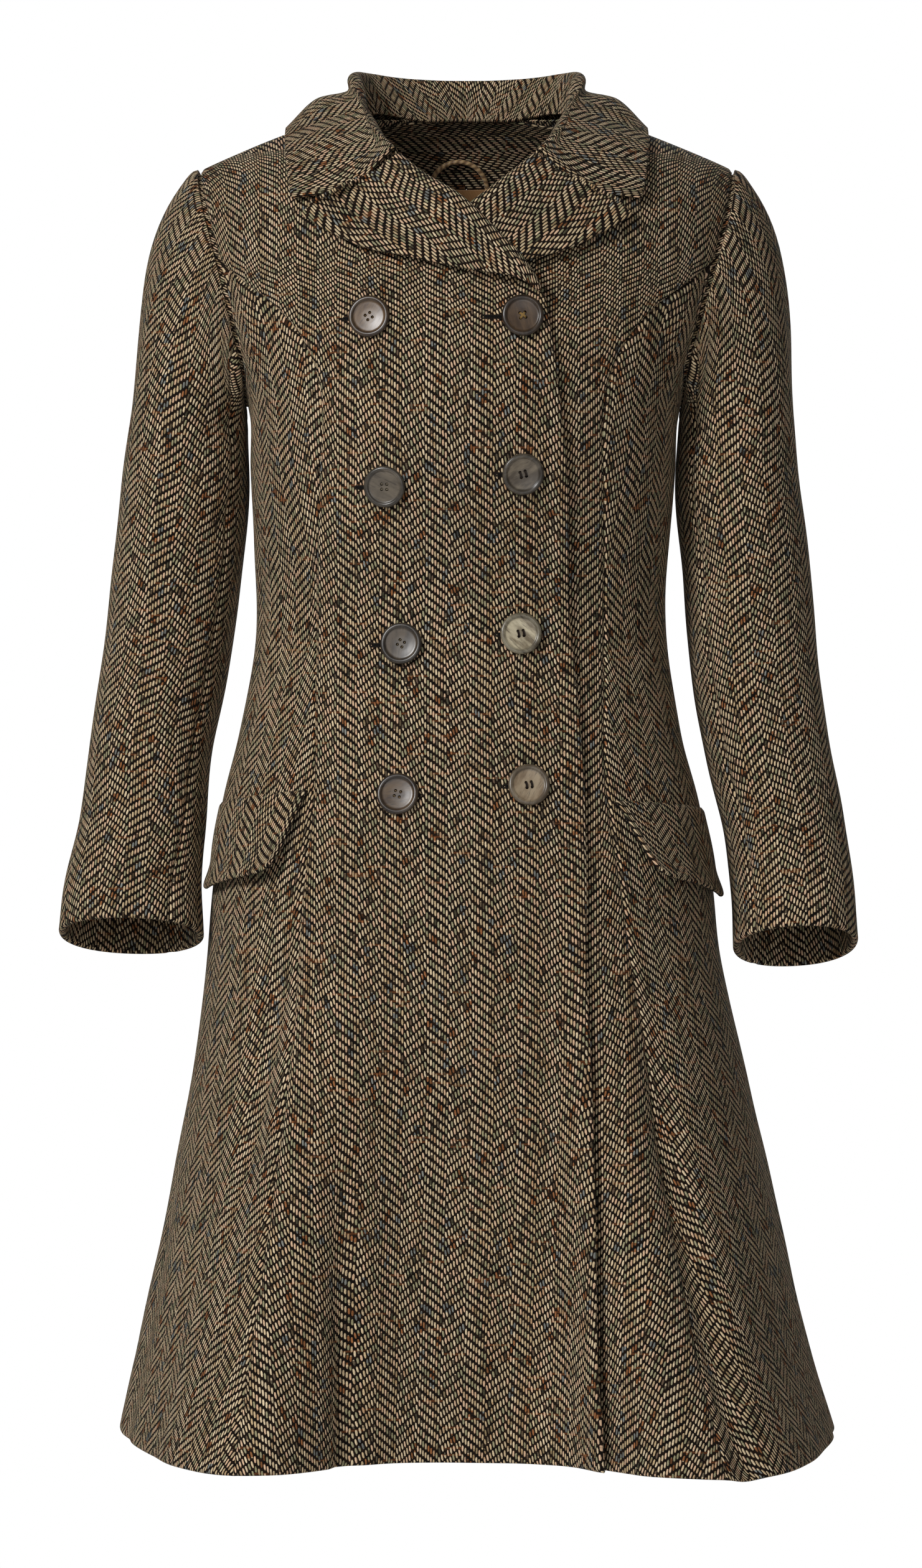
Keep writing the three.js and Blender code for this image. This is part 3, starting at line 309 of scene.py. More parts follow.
def body_normal(bearing, z):
    bearing, z = np.broadcast_arrays(np.asarray(bearing, float), np.asarray(z, float))
    step = 0.5
    around = body_point(bearing + step, z) - body_point(bearing - step, z)
    top = shoulder_z(body_point(bearing, z)[..., 0] - read(BODY, "z", z, "centre"))
    up = body_point(bearing, np.minimum(z + step, top - 0.05)) - body_point(bearing, z - step)
    normal = unit(np.cross(around, up))
    ridge = unit(vec(np.sign(np.sin(np.radians(bearing))) * 0.3, 0, 1))
    return np.where((z > top - 0.6)[..., None], ridge, normal)


def bearing_at(across, z, back=False):
    """The bearing of a point on the front (or back) ring that is this far across."""
    across, z = np.broadcast_arrays(np.asarray(across, float), np.asarray(z, float))
    square = read(BODY, "z", z, "square")
    share = np.minimum(1, np.abs(across) / read(BODY, "z", z, "half_width"))
    depth = read(BODY, "z", z, "back" if back else "front") * (1 - share**square) ** (1 / square)
    bearing = np.degrees(np.arctan2(across, -depth if back else depth))
    folded = z < FOLD_TOP
    if np.any(folded):
        side = np.where(across == 0, 1, np.sign(across))
        for _ in range(12):
            found = np.degrees(np.arcsin(np.clip(across / ring_reach(bearing, z), -1, 1)))
            if back:
                found = side * 180 - found
            bearing = np.where(folded, mix(bearing, found, 0.7), bearing)
    return bearing


def at_x(x, z):
    return bearing_at(x - read(BODY, "z", z, "centre"), z), np.asarray(z, float)


def catmull(points, samples=60):
    """A centripetal curve through points, sampled evenly by its own parameter."""
    p = np.asarray(points, float)
    p = np.concatenate([[2 * p[0] - p[1]], p, [2 * p[-1] - p[-2]]])
    found = []
    for k in range(len(p) - 3):
        p0, p1, p2, p3 = p[k : k + 4]
        d0, d1, d2 = (max(np.linalg.norm(b - a), 1e-6) ** 0.5 for a, b in ((p0, p1), (p1, p2), (p2, p3)))
        t1 = ((p1 - p0) / d0 - (p2 - p0) / (d0 + d1) + (p2 - p1) / d1) * d1
        t2 = ((p2 - p1) / d1 - (p3 - p1) / (d1 + d2) + (p3 - p2) / d2) * d1
        w = np.linspace(0, 1, samples, endpoint=False)[:, None]
        found.append(p1 + t1 * w + (-3 * p1 + 3 * p2 - 2 * t1 - t2) * w**2 + (2 * p1 - 2 * p2 + t1 + t2) * w**3)
    found.append(p[-2:-1])
    return np.concatenate(found)


def along(curve, share):
    """Points of a sampled curve at shares of its length."""
    run = np.concatenate([[0], np.cumsum(np.linalg.norm(np.diff(curve, axis=0), axis=1))])
    at = np.clip(share, 0, 1) * run[-1]
    return np.stack([np.interp(at, run, curve[:, k]) for k in range(curve.shape[1])], -1)


MM_PER_DEGREE = 2.6


def seam(points):
    """A seam as a curve of bearing and height, walked evenly from 0 to 1."""
    curve = catmull([(b * MM_PER_DEGREE, z) for b, z in points])

    def at(share):
        p = along(curve, np.asarray(share, float))
        return np.stack([p[..., 0] / MM_PER_DEGREE, p[..., 1]], -1)

    return at


def mirrored(curve):
    return lambda share: curve(share) * [-1, 1]


def unmirrored(curve):
    return curve


ROWS_BELOW = 20
ROWS_ABOVE = 11
TURN = ROWS_BELOW / (ROWS_BELOW + ROWS_ABOVE)


def joined(lower, upper):
    def at(v):
        v = np.asarray(v, float)[..., None]
        high = 1 - (1 - np.clip((v - TURN) / (1 - TURN), 0, 1)) ** 1.7
        return np.where(v <= TURN, lower(np.clip(v / TURN, 0, 1)[..., 0]), upper(high[..., 0]))

    return at


def shoulder_seam(start, end, back):
    def at(s):
        across = mix(start, end, np.asarray(s, float))
        z = shoulder_z(across)
        return np.stack([bearing_at(across, z, back), z], -1)

    return at


def straight(a, b):
    return lambda s: mix(a, b, np.asarray(s, float)[..., None])


TIP = NECK_HALF_WIDTH + SHOULDER_TIP


def tip_spot(back):
    z = shoulder_z(np.float64(TIP))
    return (float(bearing_at(TIP, z, back)), float(z))


front_hole = [(float(bearing_at(a, z)), z) for a, z in ARMHOLE_FRONT]
back_hole = [(float(bearing_at(a, z, True)), z) for a, z in ARMHOLE_BACK]
underarm = (90, UNDERARM_Z)
princess_seam = seam(PRINCESS_SEAM + [front_hole[PRINCESS_TOP]])
armhole_below = seam([underarm] + front_hole[: PRINCESS_TOP + 1])
armhole_above = seam(front_hole[PRINCESS_TOP:] + [tip_spot(False)])
armhole_back = seam([underarm] + back_hole + [tip_spot(True)])
side_seam = seam([(90, HEM_Z), (90, -600), underarm])
back_seam = seam([(180, HEM_Z), (180, -400), (180, BACK_NECK_Z)])


def back_neck_seam(across):
    z = mix(BACK_NECK_Z, NECK_POINT_Z, smooth(0, NECK_HALF_WIDTH, across))
    return np.stack([bearing_at(np.maximum(across, 0.01), z, True), z], -1)


def mirror_x(x):
    return 2 * NECK_CENTRE_X - x


front_edge = seam([tuple(float(n) for n in at_x(x, z)) for x, z in FRONT_EDGE])
underlap_edge = seam([tuple(float(n) for n in at_x(x, z)) for x, z in zip(UNDERLAP_EDGE["x"], UNDERLAP_EDGE["z"])])


def neck_edge(flip):
    """The front's neck edge: the roll line set back, then on to the shoulder seam."""
    last = len(ROLL_LINE["x"]) - 1
    spots = []
    for i, (x, z) in enumerate(zip(ROLL_LINE["x"], ROLL_LINE["z"])):
        back = 0 if i == 0 else GORGE_SETBACK if i == last else ROLL_SETBACK
        spots.append((x - back, z - back))
    spots.append((-63, -19))
    found = [tuple(float(n) for n in at_x(mirror_x(x) if flip else x, z)) for x, z in spots]
    side = 1 if flip else -1
    top = shoulder_z(np.float64(NECK_HALF_WIDTH))
    return seam(found + [(float(bearing_at(side * NECK_HALF_WIDTH, top)), float(top))])


right_neck_edge = neck_edge(False)
left_neck_edge = neck_edge(True)


def right_lift(bearing, z):
    """How far the left front and its lapel underneath lift the right front off the body."""
    x = body_point(bearing, z)[..., 0]
    edge = np.where(z < BREAK_Z, read(UNDERLAP_EDGE, "z", z, "x"), mirror_x(read(ROLL_LINE, "z", z, "x")))
    over_front = smooth(edge - LIFT_RAMP, edge - 4, x)
    over_lapel = over_front * smooth(-144, -128, z)
    return over_front * (CLOTH + OVERLAP_GAP) + over_lapel * (LAPEL_HEIGHT + 1.2)


def patch(left, right, bottom, top):
    """A patch between four seams."""
    corner = [bottom(0.0), bottom(1.0), top(0.0), top(1.0)]

    def at(s, v):
        s, v = np.broadcast_arrays(s, v)
        a, b = s[..., None], v[..., None]
        sides = mix(left(v), right(v), a) + mix(bottom(s), top(s), b)
        low, high = mix(corner[0], corner[1], a), mix(corner[2], corner[3], a)
        return sides - mix(low, high, b)

    return at


# Creases of the cloth: points, half width, height (- for a trough), and how much of the
# crease fades in at its start and out at its end
def on_body(bearing, z):
    return body_point(bearing, z)


def on_front(x, z):
    return body_point(*at_x(x, z))


BODY_CREASES = [
    # the skirt, seen from the front
    ([on_front(-83, -650), on_front(-80, -742), on_front(-77, -840), on_front(-76, -923)], 10, -10, 0.6, 0),
    ([on_front(-118, -630), on_front(-124, -781), on_front(-130, -920)], 20, 4.5, 0.6, 0),
    ([on_front(123, -590), on_front(136, -697), on_front(163, -823), on_front(188, -915)], 13, -10.5, 0.4, 0),
    ([on_front(108, -610), on_front(122, -800), on_front(131, -920)], 18, 5.5, 0.6, 0),
    ([on_front(-116, -560), on_front(-128, -620), on_front(-141, -697), on_front(-152, -790)], 13, -7, 0.3, 0.5),
    ([on_front(30, -700), on_front(34, -800), on_front(40, -920)], 16, -3, 0.6, 0),
    ([on_front(-20, -760), on_front(-24, -850), on_front(-28, -920)], 18, 1.6, 0.6, 0),
    # the hollows in front of the armholes, and drags at the waist
    ([on_front(-138, -190), on_front(-134, -150), on_front(-124, -105)], 11, -2.6, 0.4, 0.6),
    ([on_front(142, -190), on_front(138, -150), on_front(130, -105)], 11, -2.6, 0.4, 0.6),
    ([on_front(-136, -330), on_front(-112, -322), on_front(-84, -326)], 8, -1.6, 0.3, 0.7),
    ([on_front(-138, -372), on_front(-112, -384), on_front(-86, -402)], 9, -1.6, 0.3, 0.7),
    ([on_front(136, -325), on_front(114, -316), on_front(92, -318)], 8, -1.8, 0.3, 0.7),
    ([on_front(138, -366), on_front(116, -378), on_front(96, -398)], 9, -1.8, 0.3, 0.7),
    ([on_front(-20, -262), on_front(4, -266), on_front(24, -262)], 7, -0.7, 0.5, 0.5),
    ([on_front(-12, -372), on_front(4, -376), on_front(20, -372)], 7, -0.7, 0.5, 0.5),
    # the sides and the back, which the photograph hides, with creases of the same kind
    ([on_body(-92, -345), on_body(-104, -352), on_body(-120, -348)], 8, -1.8, 0.3, 0.6),
    ([on_body(94, -352), on_body(108, -360), on_body(124, -356)], 8, -1.8, 0.3, 0.6),
    ([on_body(-150, -318), on_body(-168, -326), on_body(176, -322)], 9, -1.6, 0.4, 0.5),
    ([on_body(156, -338), on_body(170, -344), on_body(-178, -340)], 9, -1.5, 0.4, 0.5),
    ([on_body(-128, -180), on_body(-136, -150), on_body(-148, -110)], 11, -2.2, 0.4, 0.6),
    ([on_body(130, -184), on_body(138, -152), on_body(150, -112)], 11, -2.2, 0.4, 0.6),
    ([on_body(-124, -600), on_body(-123, -760), on_body(-125, -923)], 12, -4, 0.6, 0),
    ([on_body(124, -590), on_body(125, -760), on_body(123, -923)], 12, -4, 0.6, 0),
    ([on_body(172, -640), on_body(173, -780), on_body(174, -923)], 12, -3, 0.6, 0),
    ([on_body(-100, -640), on_body(-98, -780), on_body(-97, -923)], 16, 2.4, 0.6, 0),
    ([on_body(76, -650), on_body(78, -790), on_body(80, -923)], 16, -2.4, 0.6, 0),
    ([on_body(-78, -690), on_body(-76, -800), on_body(-74, -923)], 15, -2.4, 0.6, 0),
]


def relief(points, creases):
    """Height of the creases at points, with the slow unevenness of heavy cloth."""
    x, y, z = (points[..., k] for k in range(3))
    height = 0.45 * np.sin(x / 31 + z / 57 + 1.3) * np.sin(z / 43 - y / 37 + 0.4)
    height += 0.3 * np.sin(x / 17 - z / 26 + 0.9) * np.sin(z / 21 + y / 19 + 2.1)
    for spots, width, high, fade_in, fade_out in creases:
        curve = along(catmull(spots, 12), np.linspace(0, 1, 40))
        low, top = curve.min(0) - 2.6 * width, curve.max(0) + 2.6 * width
        near = np.all((points > low) & (points < top), axis=-1)
        if not near.any():
            continue
        apart = np.linalg.norm(points[near][:, None] - curve[None], axis=-1)
        share = apart.argmin(1) / 39
        fade = np.ones(len(share))
        if fade_in:
            fade *= smooth(0, fade_in, share)
        if fade_out:
            fade *= smooth(0, fade_out, 1 - share)
        height[near] += high * fade * np.exp(-((apart.min(1) / width) ** 2))
    return height


def arcs(base):
    """Distances of a grid's points from its first column and first row, along the cloth."""
    across = np.linalg.norm(np.diff(base, axis=1), axis=-1)
    upward = np.linalg.norm(np.diff(base, axis=0), axis=-1)
    across = np.concatenate([np.zeros((len(base), 1)), np.cumsum(across, axis=1)], axis=1)
    upward = np.concatenate([np.zeros((1, base.shape[1])), np.cumsum(upward, axis=0)])
    return across, upward


def grid_normal(base):
    across = np.gradient(base, axis=1)
    upward = np.gradient(base, axis=0)
    return unit(np.cross(across, upward))


def rounding(distance, thick):
    """How far a face turns in towards the middle of the cloth near a free edge."""
    t = 1 - np.clip(distance / (thick / 2), 0, 1)
    return thick / 2 * 0.94 * (1 - np.sqrt(1 - t * t))


# The cut of each piece as it shows, lying flat: width and length in metres, area in square metres, how it is
# held and what it hangs from or lies on
SHEETS = {
    "front_right": (0.28, 1.07, 0.193, "hung", "back_right"),
    "front_left": (0.248, 1.058, 0.178, "hung", "back_left"),
    "side_front_right": (0.248, 0.882, 0.124, "hung", "front_right"),
    "side_front_left": (0.265, 0.893, 0.128, "hung", "front_left"),
    "back_right": (0.367, 0.996, 0.233, "hung", "collar"),
    "back_left": (0.366, 0.998, 0.234, "hung", "collar"),
    "upper_sleeve_right": (0.313, 0.56, 0.114, "hung", "front_right back_right"),
    "upper_sleeve_left": (0.315, 0.565, 0.116, "hung", "front_left back_left"),
    "under_sleeve_right": (0.133, 0.441, 0.035, "hung", "upper_sleeve_right"),
    "under_sleeve_left": (0.134, 0.448, 0.0353, "hung", "upper_sleeve_left"),
    "armhole_seam_right": (0.44, 0.038, 0.0098, "folded", "back_right"),
    "armhole_seam_left": (0.44, 0.038, 0.0098, "folded", "back_left"),
    "lapel_right": (0.09, 0.215, 0.0097, "folded", "front_right"),
    "lapel_left": (0.089, 0.162, 0.0075, "folded", "front_left"),
    "collar": (0.118, 0.591, 0.0503, "folded", "back_right back_left"),
    "flap_right": (0.115, 0.064, 0.0067, "hung", "side_front_right"),
    "flap_left": (0.119, 0.066, 0.007, "hung", "side_front_left"),
    "back_neck_facing": (0.13, 0.062, 0.0078, "laid", "back_right back_left"),
    "lining": (0.128, 0.136, 0.0168, "laid", "back_right back_left"),
}


def make_object(name, points, faces, uvs, material_index, materials):
    """A mesh object from quads, with its UV maps, riding on the coat."""
    mesh = bpy.data.meshes.new(name)
    mesh.vertices.add(len(points))
    mesh.vertices.foreach_set("co", (points / 1000).astype(np.float32).ravel())
    mesh.loops.add(faces.size)
    mesh.loops.foreach_set("vertex_index", faces.astype(np.int32).ravel())
    mesh.polygons.add(len(faces))
    mesh.polygons.foreach_set("loop_start", np.arange(len(faces), dtype=np.int32) * faces.shape[1])
    mesh.polygons.foreach_set("material_index", material_index.astype(np.int32))
    mesh.polygons.foreach_set("use_smooth", np.ones(len(faces), bool))
    for layer, values in uvs.items():
        mesh.uv_layers.new(name=layer).data.foreach_set("uv", values.astype(np.float32).ravel())
    mesh.update(calc_edges=True)
    mesh.validate()
    for material in materials:
        mesh.materials.append(material)
    obj = bpy.data.objects.new("made_" + name, mesh)
    bpy.context.scene.collection.objects.link(obj)
    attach(obj, "root")
    name in SHEETS
    return obj


def quads(rows, columns):
    i, j = np.meshgrid(np.arange(rows - 1), np.arange(columns - 1), indexing="ij")
    a = (i * columns + j).ravel()
    return np.stack([a, a + 1, a + columns + 1, a + columns], 1)


def shell(name, outer, inner, weave, materials, inner_material=None):
    """A closed wall of cloth between two grids of points, with the weave's map in units of 100 mm."""
    rows, columns = outer.shape[:2]
    count = rows * columns
    points = np.concatenate([outer.reshape(-1, 3), inner.reshape(-1, 3)])
    face = quads(rows, columns)
    rim = []
    index = np.arange(count).reshape(rows, columns)
    for line in (index[0], index[:, -1], index[-1, ::-1], index[::-1, 0]):
        a, b = line[:-1], line[1:]
        rim.append(np.stack([b, a, a + count, b + count], 1))
    rim = np.concatenate(rim)
    faces = np.concatenate([face, face[:, ::-1] + count, rim])
    a, b, c = (points[faces[:, k]] for k in range(3))
    volume = np.einsum("ij,ij->", a, np.cross(b, c)) + np.einsum(
        "ij,ij->", a, np.cross(c, points[faces[:, 3]])
    )
    if volume < 0:
        faces = faces[:, ::-1]
    flat = np.concatenate([weave.reshape(-1, 2), weave.reshape(-1, 2) + [1.3, 0.7]]) / 100
    across, upward = arcs(outer)
    size = max(upward.max(), across.max() * 1.4) * 1.02
    middle = across[:, -1:].max() / 2
    spread = np.stack([across - across[:, -1:] / 2 + middle, upward], -1) / size
    small = spread * 0.34 + [middle * 2 / size + 0.01, 0]
    bake = np.concatenate([spread.reshape(-1, 2), small.reshape(-1, 2)]) + 0.004
    bake_loops = bake[faces]
    on_rim = np.arange(len(faces)) >= 2 * len(face)
    inside = (faces >= count) & on_rim[:, None]
    bake_loops[inside] = (bake[faces - count] + 0.0016)[inside]
    index = np.zeros(len(faces))
    if inner_material is not None:
        index[len(face) : 2 * len(face)] = inner_material.reshape(-1)[face].min(1)
    uvs = {"Weave": flat[faces], "OFBake": bake_loops}
    return make_object(name, points, faces, uvs, index, materials)


def cloth(name, base, normal, out, thick, weave, edges, materials, inner_material=None):
    """A shell whose edges are seams (a groove), free (rounded) or plain. edges: first, last, low, high."""
    across, upward = arcs(base)
    distance = {
        "first": across,
        "last": across[:, -1:] - across,
        "low": upward,
        "high": upward[-1:] - upward,
    }
    dip, turn_in = np.zeros(across.shape), np.zeros(across.shape)
    for side, kind in edges.items():
        d = distance[side]
        if kind == "seam":
            dip = np.maximum(dip, SEAM_GROOVE * np.exp(-((d / SEAM_WIDTH) ** 2)))
            dip -= SEAM_RIDGE * np.exp(-(((d - 8) / 4.5) ** 2))
        elif kind == "free":
            turn_in = np.maximum(turn_in, rounding(d, thick))
    outer = base + normal * (out - dip - turn_in)[..., None]
    inner = base + normal * (out - thick + turn_in)[..., None]
    return shell(name, outer, inner, weave, materials, inner_material)


def spaced(width, step=STEP):
    """Places across a panel for each row, close together at both edges."""
    width = np.asarray(width, float)[:, None]
    count = max(4, round((width.max() - 2 * EDGE_STEPS[-1]) / step))
    ends = EDGE_STEPS * np.minimum(1, 0.45 * width / EDGE_STEPS[-1]) / width
    inner = np.linspace(0, 1, count + 2)[1:-1]
    middle = ends[:, -1:] + inner * (1 - 2 * ends[:, -1:])
    return np.concatenate([ends, middle, 1 - ends[:, ::-1]], axis=1)


def hem_rows(length, count):
    """Shares from 0 to 1, close together at the start and end."""
    ends = EDGE_STEPS / length
    return np.concatenate([ends, np.linspace(ends[-1], 1 - ends[-1], count + 2)[1:-1], 1 - ends[::-1]])


def row_widths(place, v):
    p = place(np.linspace(0, 1, 32)[None], v[:, None])
    return np.linalg.norm(np.diff(body_point(p[..., 0], p[..., 1]), axis=1), axis=-1).sum(1)


# Materials


class Value:
    """A number in a shader, so that formulas can be written out."""

    def __init__(self, shader, source):
        self.shader = shader
        self.source = source

    def math(self, operation, *others):
        node = self.shader.nodes.new("ShaderNodeMath")
        node.operation = operation
        for k, item in enumerate((self, *others)):
            if isinstance(item, Value):
                self.shader.links.new(item.source, node.inputs[k])
            else:
                node.inputs[k].default_value = item
        return Value(self.shader, node.outputs[0])

    def __add__(self, other):
        return self.math("ADD", other)

    def __sub__(self, other):
        return self.math("SUBTRACT", other)

    def __mul__(self, other):
        return self.math("MULTIPLY", other)

    def __truediv__(self, other):
        return self.math("DIVIDE", other)

    def floor(self):
        return self.math("FLOOR")

    def abs(self):
        return self.math("ABSOLUTE")

    def mod(self, other):
        return self.math("FLOORED_MODULO", other)

    def power(self, other):
        return self.math("POWER", other)

    def below(self, other):
        return self.math("LESS_THAN", other)

    def above(self, other):
        return self.math("GREATER_THAN", other)

    def top(self, other):
        return self.math("MAXIMUM", other)

    def flip(self):
        """1 minus the value."""
        return (self * -1.0) + 1.0

    def ramp(self, start, end):
        """0 below start, 1 above end, smooth between."""
        node = self.shader.nodes.new("ShaderNodeMapRange")
        node.interpolation_type = "SMOOTHSTEP"
        self.shader.links.new(self.source, node.inputs["Value"])
        node.inputs["From Min"].default_value = start
        node.inputs["From Max"].default_value = end
        return Value(self.shader, node.outputs["Result"])


class Shader:
    """A material's nodes, made from a few kinds of line."""

    def __init__(self, name):
        self.material = bpy.data.materials.new(name)
        self.material.use_nodes = True
        tree = self.material.node_tree
        self.nodes, self.links = tree.nodes, tree.links
        self.surface = self.nodes["Principled BSDF"]

    def map(self, name, scale=100):
        """The u and v of a map, in millimetres."""
        node = self.nodes.new("ShaderNodeUVMap")
        node.uv_map = name
        split = self.nodes.new("ShaderNodeSeparateXYZ")
        self.links.new(node.outputs[0], split.inputs[0])
        return Value(self, split.outputs[0]) * scale, Value(self, split.outputs[1]) * scale

    def place(self):
        """Object coordinates in millimetres."""
        node = self.nodes.new("ShaderNodeTexCoord")
        split = self.nodes.new("ShaderNodeSeparateXYZ")
        self.links.new(node.outputs["Object"], split.inputs[0])
        return [Value(self, split.outputs[k]) * 1000.0 for k in range(3)]

    def point(self, x, y, z=0.0):
        node = self.nodes.new("ShaderNodeCombineXYZ")
        for k, item in enumerate((x, y, z)):
            if isinstance(item, Value):
                self.links.new(item.source, node.inputs[k])
            else:
                node.inputs[k].default_value = item
        return node.outputs[0]

    def noise(self, point, scale=1.0, detail=2.0, rough=0.5):
        node = self.nodes.new("ShaderNodeTexNoise")
        self.links.new(point, node.inputs["Vector"])
        node.inputs["Scale"].default_value = scale
        node.inputs["Detail"].default_value = detail
        node.inputs["Roughness"].default_value = rough
        return Value(self, node.outputs["Fac"])

    def chance(self, point):
        """A number from 0 to 1 that is the same all over one cell."""
        node = self.nodes.new("ShaderNodeTexWhiteNoise")
        node.noise_dimensions = "3D"
        self.links.new(point, node.inputs["Vector"])
        return Value(self, node.outputs["Value"])

    def colour(self, item):
        if isinstance(item, tuple):
            node = self.nodes.new("ShaderNodeRGB")
            node.outputs[0].default_value = (*linear(item), 1)
            return node.outputs[0]
        return item

    def blend(self, share, a, b, kind="MIX"):
        node = self.nodes.new("ShaderNodeMix")
        node.data_type = "RGBA"
        node.blend_type = kind
        if isinstance(share, Value):
            self.links.new(share.source, node.inputs["Factor"])
        else:
            node.inputs["Factor"].default_value = share
        for key, item in ((6, a), (7, b)):
            if isinstance(item, tuple):
                node.inputs[key].default_value = (*linear(item), 1)
            else:
                self.links.new(item, node.inputs[key])
        return node.outputs[2]

    def shade(self, colour, amount):
        """A colour times a number."""
        node = self.nodes.new("ShaderNodeVectorMath")
        node.operation = "SCALE"
        self.links.new(self.colour(colour), node.inputs[0])
        self.links.new(amount.source, node.inputs["Scale"])
        return node.outputs[0]

    def finish(self, colour, roughness, height=None, distance=0.4, strength=1.0, **constants):
        if isinstance(colour, tuple):
            self.surface.inputs["Base Color"].default_value = (*linear(colour), 1)
        else:
            self.links.new(colour, self.surface.inputs["Base Color"])
        if isinstance(roughness, Value):
            self.links.new(roughness.source, self.surface.inputs["Roughness"])
        else:
            self.surface.inputs["Roughness"].default_value = roughness
        if height is not None:
            bump = self.nodes.new("ShaderNodeBump")
            bump.inputs["Distance"].default_value = distance / 1000
            bump.inputs["Strength"].default_value = strength
            self.links.new(height.source, bump.inputs["Height"])
            self.links.new(bump.outputs[0], self.surface.inputs["Normal"])
        for key, value in constants.items():
            self.surface.inputs[key.replace("_", " ")].default_value = value
        return self.material


def linear(colour):
    """A colour given as 0 to 255 in the usual way of screens, as light."""
    return [(c / 255 / 12.92) if c < 10.3 else ((c / 255 + 0.055) / 1.055) ** 2.4 for c in colour]


END_PITCH = 1.9  # one warp end
PICK_PITCH = 1.55  # one weft pick


def make_tweed(name, painted_shade_scale=1.0):
    """Herringbone: a 2/2 twill of light ends and dark picks that turns round every eight ends."""
    s = Shader(name)
    u, v = s.map("Weave")
    slow = s.noise(s.point(u / 42.0, v / 42.0), 1.0, 2.0)
    fast = s.noise(s.point(u / 7.0, v / 7.0, 3.0), 1.0, 2.0)
    other = s.noise(s.point(u / 6.0, v / 9.0, 8.0), 1.0, 2.0)
    u = u + (slow - 0.5) * 2.0 + (fast - 0.5) * 0.5 + 9120.0
    v = v + (other - 0.5) * 0.7 + (slow - 0.5) * 2.0 + 6200.0
    ends = u / END_PITCH
    end = ends.floor()
    side = (ends - end) * 2.0 - 1.0
    stripe = end.mod(16.0)
    leaning = (stripe - 7.5).math("SIGN")
    zigzag = (stripe - 7.5).abs().flip() + leaning + 6.5
    picks = v / PICK_PITCH
    phase = (picks + zigzag).mod(4.0)
    is_warp = phase.below(2.8)
    run = (phase - 1.4) / 1.4
    lean = side + run * (leaning * 0.17 + 0.25)
    fray = s.noise(s.point(u / 0.8, v / 1.6, 5.0), 1.0, 2.0, 0.6)
    float_shape = (lean.abs() / 0.7).power(2.2) + (run.abs() / 1.0).power(2.4) + (fray - 0.5) * 1.3
    warp = float_shape.ramp(1.25, 0.6) * is_warp
    crown = (float_shape * -0.7 + 1.0).top(0.0) * is_warp
    pick = picks.floor()
    weft_side = (picks - pick) * 2.0 - 1.0
    weft = (weft_side.power(2.0) * -0.75 + 0.8).top(0.0)
    which = ((picks + zigzag) / 4.0).floor()
    per_float = s.chance(s.point(end, which, 1.0))
    per_end = s.chance(s.point(end, 7.0, 2.0))
    stretch = s.chance(s.point(end, ((v + per_end * 40.0) / 5.0).floor(), 5.0))
    kind = s.chance(s.point((end / 2.0).floor(), ((v + per_end * 5.0) / 6.5).floor(), 9.0))
    weft_run = s.chance(s.point(pick, (u / 14.0).floor(), 4.0))
    fibre = s.noise(s.point(u / 0.55, v / 1.1, 2.0), 1.0, 3.0, 0.7)
    hair = s.noise(s.point(u / 0.9, v / 0.5, 12.0), 1.0, 3.0, 0.7)
    cream = s.blend(per_end, TWEED["cream"], TWEED["sand"])
    cream = s.blend(per_float.above(0.8) * 0.7, cream, TWEED["rose"])
    cream = s.blend(per_float.below(0.16) * 0.7, cream, TWEED["moss"])
    cream = s.blend(kind.above(0.9) * 0.6, cream, TWEED["tan"])
    cream = s.blend(kind.above(0.972) * 0.85, cream, TWEED["rust"])
    cream = s.blend(kind.below(0.03), cream, TWEED["grey"])
    cream = s.blend(stretch.below(0.05) * 0.8, cream, TWEED["black"])
    cream = s.shade(cream, per_float * 0.5 + fibre * 0.8 + 0.28)
    dark = s.blend(weft_run, TWEED["black"], TWEED["brown"])
    dark = s.blend(weft_run.above(0.97), dark, TWEED["rust_dark"])
    # The dark picks are darkest at their sides: painted shade in the valleys between picks, besides the bump.
    dark = s.shade(dark, weft * 0.6 + hair * 0.8)
    cover = warp * (fibre * 0.4 + 0.78).math("MINIMUM", 1.0)
    colour = s.blend(cover, dark, cream)
    x, y, z = s.place()
    broad = s.noise(s.point(x / 90.0, y / 90.0, z / 130.0), 1.0, 2.0)
    slub = s.noise(s.point(u / 9.0, v / 5.0, 21.0), 1.0, 2.0)
    # The last factor darkens a whole copy of the tweed for painted shade; it is 1 for the lit cloth of the coat.
    colour = s.shade(colour, ((broad - 0.5) * 0.22 + 1.0) * (slub.ramp(0.30, 0.40) * 0.45 + 0.55) * painted_shade_scale)
    height = (crown + 0.25) * is_warp + weft * is_warp.flip() * 0.55 + fibre * 0.22 + slub * 0.4
    return s.finish(
        colour,
        0.92,
        height,
        distance=0.55,
        strength=0.9,
        Sheen_Weight=0.03,
        Sheen_Roughness=0.45,
        Specular_IOR_Level=0.12,
    )


TWEED = {
    "cream": (226, 205, 170),
    "sand": (196, 170, 130),
    "rose": (198, 160, 132),
    "moss": (162, 164, 126),
    "tan": (158, 122, 82),
    "rust": (140, 84, 44),
    "grey": (128, 130, 124),
    "black": (16, 11, 8),
    "brown": (40, 27, 18),
    "rust_dark": (92, 54, 30),
}


def make_satin(name, light, shade):
    s = Shader(name)
    u, v = s.map("Weave")
    line = ((u + v * 0.5) / 0.35).math("SINE")
    slow = s.noise(s.point(u / 26.0, v / 40.0), 1.0, 3.0)
    # Painted light and shade: the colour goes from the lit to the shaded tone with the same noise that raises the
    # wrinkles.
    colour = s.blend(slow, light, shade)
    colour = s.shade(colour, line * 0.05 + 0.97)
    return s.finish(
        colour, slow * 0.14 + 0.32, line * 0.1 + slow * 3.0, distance=0.5, strength=0.7, Sheen_Weight=0.2
    )


